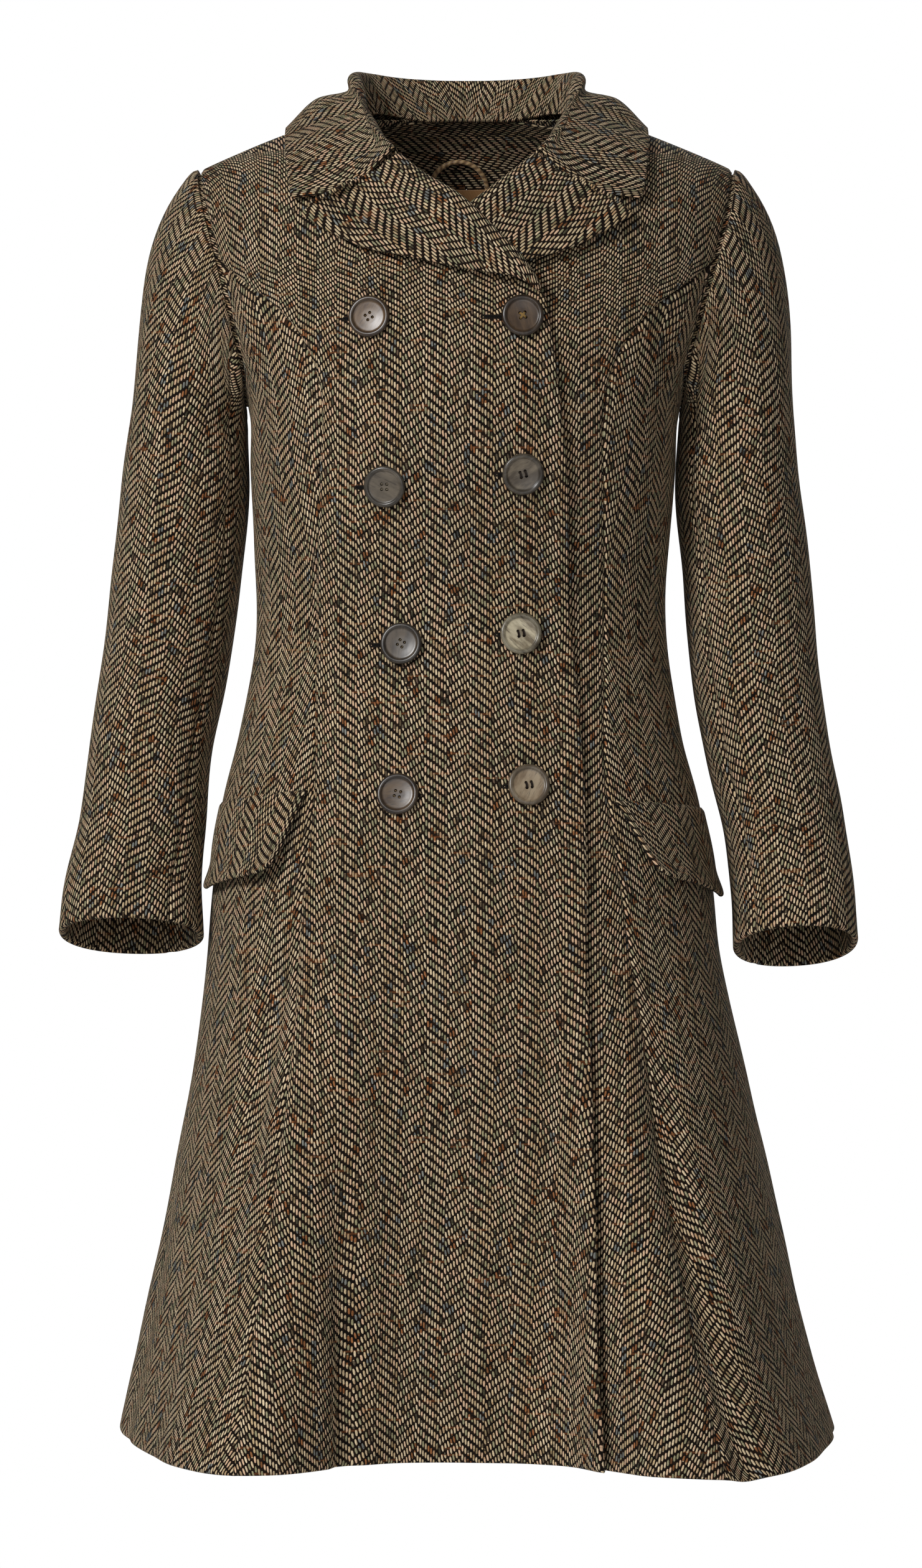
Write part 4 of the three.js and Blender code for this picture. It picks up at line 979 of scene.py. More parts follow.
def make_cord(name):
    s = Shader(name)
    u, v = s.map("Weave")
    twist = ((u * 1.4 + v * 3.2)).math("SINE")
    fibre = s.noise(s.point(u / 0.3, v / 0.9), 1.0, 3.0)
    # Painted light and shade: the colour is lighter on the crests of the twist and darker in its grooves, as the
    # bump.
    colour = s.blend(twist * 0.5 + 0.5, (112, 84, 54), (176, 146, 104))
    colour = s.shade(colour, fibre * 0.5 + 0.75)
    return s.finish(colour, 0.45, twist * 0.5 + fibre * 0.3, distance=0.35, Sheen_Weight=0.2)


def make_horn(name, base, light, streak, seed, centre):
    """Polished horn: cloudy layers that run across the button."""
    s = Shader(name)
    x, y, z = s.place()
    x, y, z = x - centre[0], y - centre[1], z - centre[2]
    turn = math.radians(seed * 53)
    along_x = x * math.cos(turn) + z * math.sin(turn)
    along_z = z * math.cos(turn) - x * math.sin(turn)
    cloud = s.noise(s.point(along_x / 22.0, along_z / 7.0, y / 9.0 + seed * 3.7), 1.0, 4.0, 0.6)
    fine = s.noise(s.point(along_x / 9.0, along_z / 1.6, seed * 5.1), 1.0, 4.0, 0.65)
    colour = s.blend(cloud.ramp(0.36, 0.64), base, light)
    colour = s.blend(fine.ramp(0.52, 0.74) * 0.75, colour, streak)
    reach = (x * x + z * z).power(0.5)
    # The colour darkens towards the raised rim, down to 0.4 at its edge: painted shade on the rim's rounded side.
    rim = reach.ramp(9.6, 11.6)
    colour = s.shade(colour, (fine * 0.3 + 0.7) * (rim * -0.6 + 1.0))
    return s.finish(
        colour,
        fine * 0.12 + 0.3,
        fine * 0.4 + cloud,
        distance=0.05,
        Coat_Weight=0.2,
        Coat_Roughness=0.22,
        Specular_IOR_Level=0.5,
    )


def make_thread(name, colour):
    s = Shader(name)
    x, y, z = s.place()
    ply = ((x * 1.3 + y + z * 2.1) * 3.0).math("SINE")
    # Painted light and shade: the colour follows the bump of the ply, lighter on the crests.
    return s.finish(s.shade(colour, ply * 0.2 + 0.85), 0.85, ply, distance=0.12, Specular_IOR_Level=0.2)


tweed = make_tweed("tweed")
# A darker copy of the tweed: painted shade on the back neck facing, inside the coat.
facing = make_tweed("facing_tweed_painted_shade", 0.62)
# A near-black copy of the tweed: painted shade for the backs and rims of the flaps.
flap_shade_tweed = make_tweed("flap_painted_shade_tweed", 0.22)
satin = make_satin("lining_satin", (168, 126, 82), (146, 106, 66))
cord = make_cord("loop_cord")
dark_thread = make_thread("thread_dark", (34, 27, 21))
# A near-black colour for the buttonhole slits: painted shade.
slit_painted_shade = make_thread("slit_painted_shade", (9, 7, 6))
COAT = [tweed, satin]


# The body's panels


def weave_map(base, grain):
    """The weave's map in millimetres: round the coat from the grain line, and up along that line."""
    steps = np.hypot(*np.moveaxis(np.diff(base[..., :2], axis=1), -1, 0))
    across = np.concatenate([np.zeros((len(base), 1)), np.cumsum(steps, axis=1)], axis=1)
    zero = np.array([np.interp(0, grain[i], across[i]) for i in range(len(base))])
    line = base[:, np.argmin(np.abs(grain[len(base) // 2]))]
    run = np.concatenate([[0], np.cumsum(np.linalg.norm(np.diff(line, axis=0), axis=1))])
    z = base[..., 2]
    v = np.interp(z, line[:, 2], run) + z - np.clip(z, line[0, 2], line[-1, 2])
    return np.stack([across - zero[:, None], v], -1)


SHIFT = iter(range(1, 40))


def body_panel(name, place, v, grain, edges, extra=None, hidden=0.0):
    s = spaced(row_widths(place, v) + hidden)
    p = place(s, v[:, None])
    bearing, z = p[..., 0], p[..., 1]
    base = body_point(bearing, z)
    normal = body_normal(bearing, z)
    across, upward = arcs(base)
    lift = np.zeros(z.shape)
    if name == "front_right":
        lift = right_lift(bearing, z) + EDGE_EXTRA * smooth(16, 5, across[:, -1:] - across)
        lift = lift + EDGE_CURL * smooth(-520, -880, z) * smooth(46, 0, across[:, -1:] - across)
    turned_hem = smooth(HEM_TURN + 3, HEM_TURN, upward)
    thick = CLOTH + HEM_EXTRA * turned_hem
    if name == "front_right":
        thick = thick + EDGE_EXTRA * smooth(16, 5, across[:, -1:] - across)
    front_facing = (across[:, -1:] - across < 85) & name.startswith("front")
    neck = name.startswith("back") & (z > -34) & (np.abs(base[..., 0]) < 72)
    inner_material = np.where((upward > HEM_TURN + 2) & ~front_facing & ~neck, 1, 0)
    out = lift + relief(base, BODY_CREASES)
    weave = weave_map(base, grain(base, bearing)) + [next(SHIFT) * 3.7, 0]
    return cloth(name, base, normal, out, thick, weave, edges, COAT, inner_material)


LONG_ROWS = np.concatenate(
    [
        TURN * np.concatenate([EDGE_STEPS / 816, np.linspace(EDGE_STEPS[-1] / 816, 1, 150)[1:]]),
        TURN + (1 - TURN) * hem_rows(210, 38)[10:],
    ]
)
SIDE_ROWS = hem_rows(730, 130)


def make_fronts():
    side = joined(princess_seam, armhole_above)
    right, left = joined(front_edge, right_neck_edge), joined(underlap_edge, left_neck_edge)
    right_side = mirrored(side)
    for name, a, b, top, mark in (
        ("front_right", right_side, right, shoulder_seam(-TIP, -NECK_HALF_WIDTH, False), -80),
        ("front_left", side, left, shoulder_seam(TIP, NECK_HALF_WIDTH, False), 88),
    ):
        place = patch(a, b, straight(a(0.0), b(0.0)), top)
        flip = 1 if mark < 0 else -1
        grain = lambda base, bearing, mark=mark, flip=flip: flip * (base[..., 0] - mark)
        edges = {"first": "seam", "last": "free", "low": "free", "high": "seam"}
        obj = body_panel(name, place, LONG_ROWS, grain, edges)
        obj = replace(obj, name)


def replace(obj, *nodes):
    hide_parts(*nodes)
    return obj


def make_side_fronts():
    for name, turn, mark in (("side_front_right", mirrored, -66), ("side_front_left", unmirrored, 66)):
        front, side = turn(princess_seam), turn(side_seam)
        top = turn(lambda s: armhole_below(1 - np.asarray(s, float)))
        place = patch(front, side, straight(front(0.0), side(0.0)), top)
        flip = -1 if mark < 0 else 1
        grain = lambda base, bearing, mark=mark, flip=flip: flip * (bearing - mark)
        edges = {"first": "seam", "last": "seam", "low": "free", "high": "seam"}
        replace(body_panel(name, place, SIDE_ROWS, grain, edges), name)


def make_backs():
    share = 0.4

    def top_edge(s):
        s = np.asarray(s, float)
        neck = back_neck_seam(np.clip(s / share, 0, 1) * NECK_HALF_WIDTH)
        shoulder = shoulder_seam(NECK_HALF_WIDTH, TIP, True)(np.clip((s - share) / (1 - share), 0, 1))
        return np.where((s < share)[..., None], neck, shoulder)

    side = joined(side_seam, armhole_back)
    middle = joined(lambda q: back_seam(q * 0.86), lambda q: back_seam(mix(0.86, 1, q)))
    for name, turn in (("back_right", mirrored), ("back_left", unmirrored)):
        place = patch(turn(middle), turn(side), turn(straight(middle(0.0), side(0.0))), turn(top_edge))
        edges = {"first": "seam", "last": "seam", "low": "free", "high": "seam"}
        grain = lambda base, bearing: 180 - np.abs(bearing)
        replace(body_panel(name, place, LONG_ROWS, grain, edges), name)


# Sleeves


def armhole_point(side, bearing):
    """The armhole as one loop round the sleeve's bearings: 0 at the shoulder tip, 90 in front."""
    front = bearing <= 180
    share = np.where(front, bearing / 180, (360 - bearing) / 180)
    spot = np.where(
        front[..., None],
        np.where((share < 0.5)[..., None], armhole_above(1 - share / 0.5), armhole_below(1 - (share - 0.5) / 0.5)),
        armhole_back(1 - share),
    )
    turned = spot[..., 0] * side
    base, normal = body_point(turned, spot[..., 1]), body_normal(turned, spot[..., 1])
    away = unit(vec(side * (1 - share), 0 * share, share))
    start = base + normal * mix(0.5, 3.1, share)[..., None] + away * 0.8
    under = base - normal * (CLOTH + 0.3)
    return start, under, under - away * 5


def sleeve_tube(side, stations):
    points = np.stack([stations["x"], stations["y"], stations["z"]], 1)
    curve = catmull(points, 100)

    def at(bearing, share):
        where = np.clip(share, 0, 1) * (len(curve) - 1)
        centre = np.stack([np.interp(where, np.arange(len(curve)), curve[:, k]) for k in range(3)], -1)
        ahead = np.stack([np.interp(where + 1.5, np.arange(len(curve)), curve[:, k]) for k in range(3)], -1)
        behind = np.stack([np.interp(where - 1.5, np.arange(len(curve)), curve[:, k]) for k in range(3)], -1)
        run = unit(ahead - behind)
        out = unit(vec(side, 0, 0) - run * (side * run[..., :1]))
        front = unit(vec(0, -1, 0) + run * run[..., 1:2])
        s, c = np.sin(np.radians(bearing)), np.cos(np.radians(bearing))
        wide = read(stations, "z", centre[..., 2], "half_width")
        deep = read(stations, "z", centre[..., 2], "half_depth")
        reach = (np.abs(c / wide) ** SLEEVE_SQUARE + np.abs(s / deep) ** SLEEVE_SQUARE) ** (-1 / SLEEVE_SQUARE)
        return centre + out * (reach * c)[..., None] + front * (reach * s)[..., None]

    return at


def sleeve_point(side, tube, bearing, row):
    bearing, row = np.broadcast_arrays(np.mod(bearing, 360), np.asarray(row, float))
    low = tube(bearing, (row - CAP_ROWS) / TUBE_ROWS)
    t = np.clip(row / CAP_ROWS, 0, 1)[..., None]
    start, end = armhole_point(side, bearing)[0], tube(bearing, 0 * row)
    top = np.cos(np.radians(bearing)) * 0.5 + 0.5
    length = np.linalg.norm(end - start, axis=-1, keepdims=True)
    leave = unit(vec(side * mix(0.12, 0.7, top), 0 * top, -mix(1, 0.7, top))) * length
    arrive = unit(tube(bearing, 0 * row + 0.02) - end) * length
    cap = start * (2 * t**3 - 3 * t**2 + 1) + leave * (t**3 - 2 * t**2 + t)
    cap = cap + end * (3 * t**2 - 2 * t**3) + arrive * (t**3 - t**2)
    return np.where((row >= CAP_ROWS)[..., None], low, cap)


# Creases of each sleeve: bearing and row points (rows run 0 at the armhole, 7 at the top of the tube, 17 at
# the cuff), half width, height, fades
SLEEVE_CREASES = {
    "right": [
        ([(60, 12.4), (95, 12.7), (140, 12.2)], 7, -2.4, 0.4, 0.3),
        ([(50, 13.4), (90, 13.6), (150, 13.2)], 7, -2.0, 0.4, 0.4),
        ([(80, 11.2), (120, 11.5), (165, 11.0)], 8, -1.8, 0.4, 0.3),
        ([(150, 8.3), (115, 9.4), (85, 10.8)], 9, -2.0, 0.2, 0.6),
        ([(150, 6.0), (110, 7.2), (80, 9.0)], 10, -2.4, 0.2, 0.6),
        ([(20, 2.0), (16, 4.5), (14, 8.0)], 14, -1.6, 0.3, 0.6),
        ([(100, 3.0), (96, 5.0), (90, 7.5)], 11, 1.6, 0.4, 0.6),
        ([(255, 12.6), (290, 12.9), (320, 12.5)], 9, -1.8, 0.4, 0.4),
        ([(250, 8.0), (275, 9.2), (300, 10.4)], 10, -1.8, 0.2, 0.6),
    ],
    "left": [
        ([(55, 12.7), (95, 12.4), (145, 12.8)], 7, -2.2, 0.4, 0.3),
        ([(60, 13.8), (100, 14.0), (150, 13.6)], 7, -1.8, 0.4, 0.4),
        ([(75, 11.4), (118, 11.2), (160, 11.6)], 8, -2.0, 0.4, 0.3),
        ([(155, 8.8), (120, 9.8), (80, 11.0)], 9, -2.2, 0.2, 0.6),
        ([(150, 6.4), (112, 7.4), (78, 9.2)], 10, -2.2, 0.2, 0.6),
        ([(24, 2.2), (18, 4.8), (16, 8.4)], 14, -1.6, 0.3, 0.6),
        ([(98, 3.2), (96, 5.2), (88, 7.8)], 11, 1.6, 0.4, 0.6),
        ([(250, 12.8), (285, 12.6), (320, 12.9)], 9, -1.8, 0.4, 0.4),
        ([(252, 8.4), (275, 9.4), (302, 10.6)], 10, -1.8, 0.2, 0.6),
    ],
}


def make_sleeves():
    rows = np.concatenate(
        [
            np.array([0.15, 0.35, 0.65, 1.1, 1.7, 2.6, 3.9]) / 14,
            np.linspace(0.4, CAP_ROWS, 24),
            CAP_ROWS + np.linspace(0, TUBE_ROWS - 0.24, 72)[1:],
            CAP_ROWS + TUBE_ROWS - np.array([5.8, 3.9, 2.6, 1.7, 1.1, 0.65, 0.35, 0.15]) / 37,
        ]
    )
    for word, side in (("right", -1), ("left", 1)):
        tube = sleeve_tube(side, SLEEVES[word])
        creases = [
            ([sleeve_point(side, tube, np.array(float(b)), r) for b, r in spots], *rest)
            for spots, *rest in SLEEVE_CREASES[word]
        ]
        for kind, start, end, mark in (
            ("upper_sleeve_", SLEEVE_BACK - 360, SLEEVE_FRONT, 30),
            ("under_sleeve_", SLEEVE_FRONT, SLEEVE_BACK, 182),
        ):
            probe = sleeve_point(side, tube, np.linspace(start, end, 60)[None], rows[:, None])
            run = np.linalg.norm(np.diff(probe, axis=1), axis=-1)
            share = np.concatenate([np.zeros((len(rows), 1)), np.cumsum(run, axis=1)], axis=1)
            s = spaced(share[:, -1])
            at = np.array([np.interp(s[i], share[i] / share[i, -1], np.linspace(start, end, 60)) for i in range(len(rows))])
            base = sleeve_point(side, tube, at, rows[:, None])
            # the columns may not bunch up at the shoulder's corner, so each row is spread by its own length
            step_b, step_r = 3, 0.3
            around = sleeve_point(side, tube, at + step_b, rows[:, None]) - sleeve_point(side, tube, at - step_b, rows[:, None])
            down = sleeve_point(side, tube, at, np.minimum(rows + step_r, 17)[:, None])
            down = down - sleeve_point(side, tube, at, np.maximum(rows - step_r, 0)[:, None])
            normal = unit(np.cross(around, down)) * side
            across, upward = arcs(base)
            from_cuff = upward[-1:] - upward
            thick = CLOTH + HEM_EXTRA * smooth(HEM_TURN + 3, HEM_TURN, from_cuff)
            zero = np.array([np.interp(0, at[i] - mark, across[i]) for i in range(len(rows))])
            below = upward - upward[np.argmax(rows >= CAP_ROWS)]
            below = np.where((rows >= CAP_ROWS)[:, None], below.mean(1, keepdims=True), below)
            weave = np.stack([(across - zero[:, None]) * side, -below], -1) + [next(SHIFT) * 3.7, 0]
            inner = np.where(from_cuff > HEM_TURN + 2, 1, 0)
            edges = {"first": "seam", "last": "seam", "low": "seam", "high": "free"}
            name = kind + word
            obj = cloth(name, base, normal, CLOTH + relief(base, creases), thick, weave, edges, COAT, inner)
            replace(obj, name)


def make_armhole_seams():
    """The seam allowance under each armhole's groove, from inside the body to inside the sleeve."""
    for word, side in (("right", -1), ("left", 1)):
        bearing = np.linspace(0, 360, 181)
        tube = sleeve_tube(side, SLEEVES[word])
        _, under, inside = armhole_point(side, np.mod(bearing, 360))
        rows = [inside, under]
        for row in (0.05, 0.6, 1.2):
            ring = sleeve_point(side, tube, bearing, row)
            rows.append(ring + unit(ring.mean(0) - ring) * 0.7)
        face = np.stack(rows)
        behind = face + unit(face.mean((0, 1)) - face) * 0.7
        across, upward = arcs(face)
        shell("armhole_seam_" + word, face, behind, np.stack([across, upward], -1), [tweed])


# Lapels, collar and flaps


def folded_piece(name, face, flip, thick, weave, edges, extra=0.0):
    """A cloth wall behind a face, like the part's, whose edges are rounded."""
    normal = grid_normal(face) * (1 if flip else -1)
    return cloth(name, face, -normal, np.zeros(face.shape[:2]) + extra, thick, weave, edges, [tweed])


def make_lapel(name, left):
    def place(x, z, height):
        bearing, z = at_x(mirror_x(x) if left else x, z)
        lift = 0 if left else right_lift(bearing, z)
        base = body_point(bearing, z)
        return base + body_normal(bearing, z) * (lift + height + relief(base, BODY_CREASES))[..., None]

    start = LEFT_LAPEL_START if left else 0.03
    at = np.concatenate(
        [np.linspace(start, 0.855, 60), np.linspace(0.86, 0.915, 16), np.linspace(0.92, 0.972, 14), [0.9745, 0.9765, LAPEL_END]]
    )[:, None]
    near = smooth(0.42, 0.6, at) if left else smooth(0, 0.3, at)
    radius = mix(ROLL_RADIUS["pressed"] if left else 1.7, ROLL_RADIUS["lapel"], near)
    bottom = np.full(at.shape, -CLOTH) if left else mix(0.9, -CLOTH, smooth(0.18, 0.32, at))
    roll = np.concatenate([read(ROLL_LINE, "at", at, k) for k in ("x", "z")], 1)
    edge = np.concatenate([read(LAPEL_EDGE, "at", at, k) for k in ("x", "z")], 1)
    width = np.linalg.norm(edge - roll, axis=1, keepdims=True)
    away = (edge - roll) / width
    turn = np.linspace(0, math.pi, 13)[None]
    around_s, around_h = radius * (1 - np.sin(turn)), bottom + radius * (1 - np.cos(turn))
    flat = spaced((width - radius)[:, 0], 3.2)[:, 5:] * (width - radius)
    s = np.concatenate([around_s, radius + flat], 1)
    high = 1 - smooth(radius, np.minimum(ROLL_SOFTNESS, width), radius + flat)
    flat_h = mix(LAPEL_HEIGHT, bottom + 2 * radius, high)
    flat_h = flat_h + FREE_EDGE_LIFT * smooth(30, 0, width - radius - flat)
    h = np.concatenate([around_h, flat_h], 1)
    face = place(roll[:, :1] + away[:, :1] * s, roll[:, 1:] + away[:, 1:] * s, h)
    across, upward = arcs(face)
    weave = np.stack([across, np.broadcast_to(upward[:, 20:21], across.shape)], -1) + [next(SHIFT) * 3.7, 0]
    edges = {"last": "free", "high": "free", "low": "free"}
    replace(folded_piece(name, face, not left, FOLDED, weave, edges), name)


def neck_seam_spot(at, left):
    side = 1 if left else -1
    back = back_neck_seam(NECK_HALF_WIDTH * (1 - np.clip((at - SHOULDER_STOP) / (1 - SHOULDER_STOP), 0, 1)))
    edge = left_neck_edge if left else right_neck_edge
    gorge = ROLL_LINE["z"][-1] - GORGE_SETBACK
    shares = np.linspace(0, 1, 4001)
    low = np.interp(gorge, edge(shares)[:, 1], shares)
    front = edge(mix(low, 1, np.clip(at / SHOULDER_STOP, 0, 1)))
    return np.where((at >= SHOULDER_STOP)[..., None], back * [side, 1], front)


def height_over_body(point, height, only_out):
    """Moves points to a height above the body, or only out to it where they lie lower."""

    def field(p):
        x, y, z = (p[..., k] for k in range(3))
        centre = read(BODY, "z", z, "centre")
        low = np.minimum(z, 20)

        def ring(back):
            bearing = bearing_at(x - centre, low, back)
            return -ring_reach(bearing, low) * np.cos(np.radians(bearing))

        reach = np.where(y > SHOULDER_Y, ring(True), ring(False))
        arch = np.where(y < SHOULDER_Y, ARCH_FRONT, ARCH_BACK)
        closed = np.maximum(0, 1 - (shoulder_z(x - centre) - z) / arch)
        return np.hypot(closed, (y - SHOULDER_Y) / (reach - SHOULDER_Y))

    moved = point.copy()
    done = np.zeros(point.shape[:-1], bool)
    for _ in range(6):
        slope = np.stack([field(moved + 0.5 * axis) - field(moved - 0.5 * axis) for axis in np.eye(3)], -1)
        steep = np.linalg.norm(slope, axis=-1)
        short = height - (field(moved) - 1) / steep
        if only_out:
            done |= short < 0
        moved = np.where(done[..., None], moved, moved + unit(slope) * short[..., None])
    return moved


def make_collar():
    ends = EDGE_STEPS / 420
    spread = np.concatenate([ends * 2, np.linspace(ends[-1] * 2, 2 - ends[-1] * 2, 130)[1:-1], 2 - ends[::-1] * 2])
    left = spread > 1
    side = np.where(left, 1, -1)
    at = 1 - np.abs(spread - 1)

    def get(part, share=at):
        x = NECK_CENTRE_X + side * read(COLLAR, "at", share, part)
        return vec(x, read(COLLAR, "at", share, part + "Y"), read(COLLAR, "at", share, part + "Z"))

    roll = get("roll")
    spot = np.where(left[:, None], neck_seam_spot(at, True), neck_seam_spot(at, False))
    seam_point = body_point(spot[:, 0], spot[:, 1])
    before, after = get("roll", np.maximum(0, at - 0.03)), get("roll", np.minimum(1, at + 0.03))
    way = np.where((at > 0.985)[:, None], vec(1, 0, 0), (after - before) * -side[:, None])
    rough = unit(roll - seam_point)
    out = unit(np.cross(rough, way))
    inside = seam_point - out * (FOLDED + STAND_INWARDS)
    radius = ROLL_RADIUS["collar"]
    up = unit(roll - out * radius - inside)
    centre = roll - up * radius
    foot = inside + up * mix(1.3, STAND_FOOT, smooth(0.55, 0.8, at))[:, None]
    neck_side = centre - out * radius
    columns = [foot + (neck_side - foot) * t for t in np.concatenate([[0, 0.02, 0.06], np.linspace(0.12, 1, 9)[:-1]])]
    for turn in np.linspace(0, math.pi, 15):
        columns.append(centre + radius * (up * math.sin(turn) - out * math.cos(turn)))
    top = columns[-1]
    half = height_over_body(get("half"), FOLDED + 1.4, True)
    stands = (FOLDED + 1.1 + 4 * smooth(0.34, 0, at))
    edge = height_over_body(get("edge"), stands, False)
    lead_way = unit(mix(unit(half - top), -up, smooth(0, 0.12, at)[:, None]))
    lead = top + lead_way * 6
    fall = []
    for j in range(len(at)):
        curve = catmull([top[j], lead[j], half[j], edge[j]], 40)
        length = np.linalg.norm(np.diff(curve, axis=0), axis=1).sum()
        fall.append(along(curve, np.concatenate([np.linspace(0, 1, 26)[1:-4], 1 - EDGE_STEPS[::-1] / length, [1.0]])))
    face = np.concatenate([np.stack(columns, 1), np.stack(fall)], 1)
    face = face + out[:, None] * (0.35 * np.sin(np.arange(face.shape[1]) / 9)[None] * np.sin(spread * 17)[:, None])[..., None] * smooth(24, 40, np.arange(face.shape[1]))[None, :, None]
    across, upward = arcs(face)
    round_neck = upward[:, 34:35] - upward[len(upward) // 2, 34]
    weave = np.stack([np.broadcast_to(round_neck, across.shape), across], -1) + [next(SHIFT) * 3.7, 0]
    edges = {"last": "free", "low": "free", "high": "free"}
    replace(folded_piece("collar", face, True, FOLDED, weave, edges), "collar")


def make_flap(word):
    side, top_front, top_back, low_back, low_front = FLAPS[word]
    v = hem_rows(66, 18)[:, None]
    s = hem_rows(100, 26)[None]
    t = np.clip((np.abs(2 * s - 1) - 1 + 2 * FLAP_CORNER) / (2 * FLAP_CORNER), 0, 1)
    corner = 1 - np.sqrt(1 - t * t)
    up = v + (1 - v) * FLAP_CORNER * 1.4 * corner
    at = [mix(mix(low_front[i], low_back[i], s), mix(top_front[i], top_back[i], s), up) for i in range(2)]
    bearing, z = side * at[0], at[1]
    height = CLOTH + FLAP_GAP + (1 - up) * (FLAP_LIFT_FRONT * (1 - s) ** 2 + FLAP_LIFT)
    height = height + FLAP_EDGE_LIFT * smooth(0.35, 0, up) + 0.8 * np.exp(-(((up - 0.55) / 0.3) ** 2)) - 1.3 * np.exp(-(((1 - up) / 0.03) ** 2))
    base = body_point(bearing, z)
    face = base + body_normal(bearing, z) * (height + relief(base, BODY_CREASES))[..., None]
    across, upward = arcs(face)
    weave = np.stack([across * side, upward], -1) + [next(SHIFT) * 3.7, 0]
    edges = {"first": "free", "last": "free", "low": "free"}
    name = "flap_" + word
    obj = replace(folded_piece(name, face, side < 0, CLOTH + 1.2, weave, edges, 0), name)
    # The flap's back and its rims take a near-black copy of the tweed: painted shade for the gap under the flap and
    # its turned edge.
    obj.data.materials.append(flap_shade_tweed)
    faces = len(obj.data.polygons)
    front = (face.shape[0] - 1) * (face.shape[1] - 1)
    obj.data.polygons.foreach_set("material_index", (np.arange(faces) >= front).astype(np.int32))


# Inside the back neck


def make_inside():
    def piece(name, top, bottom, thick, material, kind):
        s = hem_rows(2 * INSIDE_REACH, 30)[None]
        v = hem_rows(60, 20)[:, None]
        across = INSIDE_REACH * (2 * s - 1)
        z = mix(bottom(across), top(across), v)
        bearing = bearing_at(np.where(across == 0, 0.01, across), z, True)
        base = body_point(bearing, z)
        normal = body_normal(bearing, z)
        out = -(CLOTH + LAYER_GAP) + np.zeros(base.shape[:2])
        _, upward = arcs(base)
        weave = np.stack([across + 0 * z, upward], -1)
        if kind == "facing":
            weave = weave[..., ::-1]
        outer = base + normal * out[..., None]
        ripple = 0.5 * np.sin(across / 9 + z / 23) * (kind == "lining")
        inner = base + normal * (out - thick + ripple.clip(-0.3, 0.3))[..., None]
        obj = shell(name, outer, inner, weave + [next(SHIFT) * 3.7, 0], [material])
        replace(obj, name)

    def neck(x):
        return back_neck_seam(np.abs(x))[..., 1]

    def facing_end(x):
        return mix(BACK_NECK_Z - FACING_DEPTH, -34, smooth(0, INSIDE_REACH, np.abs(x)))

    def facing_top(x):
        return neck(x) - 0.4 - 2 * smooth(40, INSIDE_REACH, np.abs(x))

    # The facing takes the darker copy of the tweed, painted shade inside the neck.
    piece("back_neck_facing", facing_top, facing_end, FACING_CLOTH, facing, "facing")
    piece("lining", lambda x: facing_end(x) - 0.3, lambda x: LINING_END_Z + 0 * x, LINING_CLOTH, satin, "lining")


def tube(centres, radius, sides, closed=False):
    """Rings of points along a line, as points and quads, with closing fans as narrow quads."""
    centres = np.asarray(centres, float)
    if closed:
        run = np.roll(centres, -1, 0) - np.roll(centres, 1, 0)
    else:
        run = np.gradient(centres, axis=0)
    run = unit(run)
    first = unit(np.cross(run, [0.31, 0.88, 0.36]))
    second = np.cross(run, first)
    radius = np.broadcast_to(np.asarray(radius, float), (len(centres),))
    turn = 2 * math.pi * np.arange(sides) / sides
    rings = centres[:, None] + radius[:, None, None] * (
        first[:, None] * np.cos(turn)[None, :, None] + second[:, None] * np.sin(turn)[None, :, None]
    )
    count = len(centres)
    faces = []
    for i in range(count if closed else count - 1):
        for k in range(sides):
            a, b = i * sides, ((i + 1) % count) * sides
            n = (k + 1) % sides
            faces.append((a + k, a + n, b + n, b + k))
    points = list(rings.reshape(-1, 3))
    if not closed:
        points += [centres[0], centres[-1]]
        tip = count * sides
        for k in range(0, sides, 2):
            n, m = (k + 1) % sides, (k + 2) % sides
            faces.append((tip, m, n, k))
            last = (count - 1) * sides
            faces.append((tip + 1, last + k, last + n, last + m))
    return np.array(points), np.array(faces)


def join(parts):
    points, faces, start = [], [], 0
    for p, f in parts:
        points.append(p)
        faces.append(f + start)
        start += len(p)
    return np.concatenate(points), np.concatenate(faces)


def small_piece(name, parts, material):
    """An object from tubes, with a plain map."""
    points, faces = join(parts)
    corners = points[faces][..., [0, 2]] / 100
    make = make_object(name, points, faces, {"Weave": corners}, np.zeros(len(faces)), [material])
    return make


def make_loop():
    low = BACK_NECK_Z - FACING_DEPTH
    turn = np.linspace(0, math.pi, 60)
    across, z = -6 - 21.5 * np.cos(turn), low + 21 * np.sin(turn)
    depth = CLOTH + LAYER_GAP + FACING_CLOTH + 1.8 + LAYER_GAP + 1.2 * np.sin(turn)
    bearing = bearing_at(np.where(across == 0, 0.01, across), z, True)
    centres = body_point(bearing, z) - body_normal(bearing, z) * depth[:, None]
    points, faces = tube(centres, 1.8 * (1 - 0.12 * np.cos(turn * 2) ** 2), 14)
    rows = np.minimum(np.arange(len(points)) // 14, 59)
    run = np.concatenate([[0], np.cumsum(np.linalg.norm(np.diff(centres, axis=0), axis=1))])
    around = (np.arange(len(points)) % 14) / 14 * 2 * math.pi
    uv = np.stack([run[rows], around / 3.2], -1)[faces] / 100
    obj = make_object("hanger_loop", points, faces, {"Weave": uv}, np.zeros(len(faces)), [cord])
    replace(obj, "hanger_loop")


# Buttons, their threads and the buttonholes


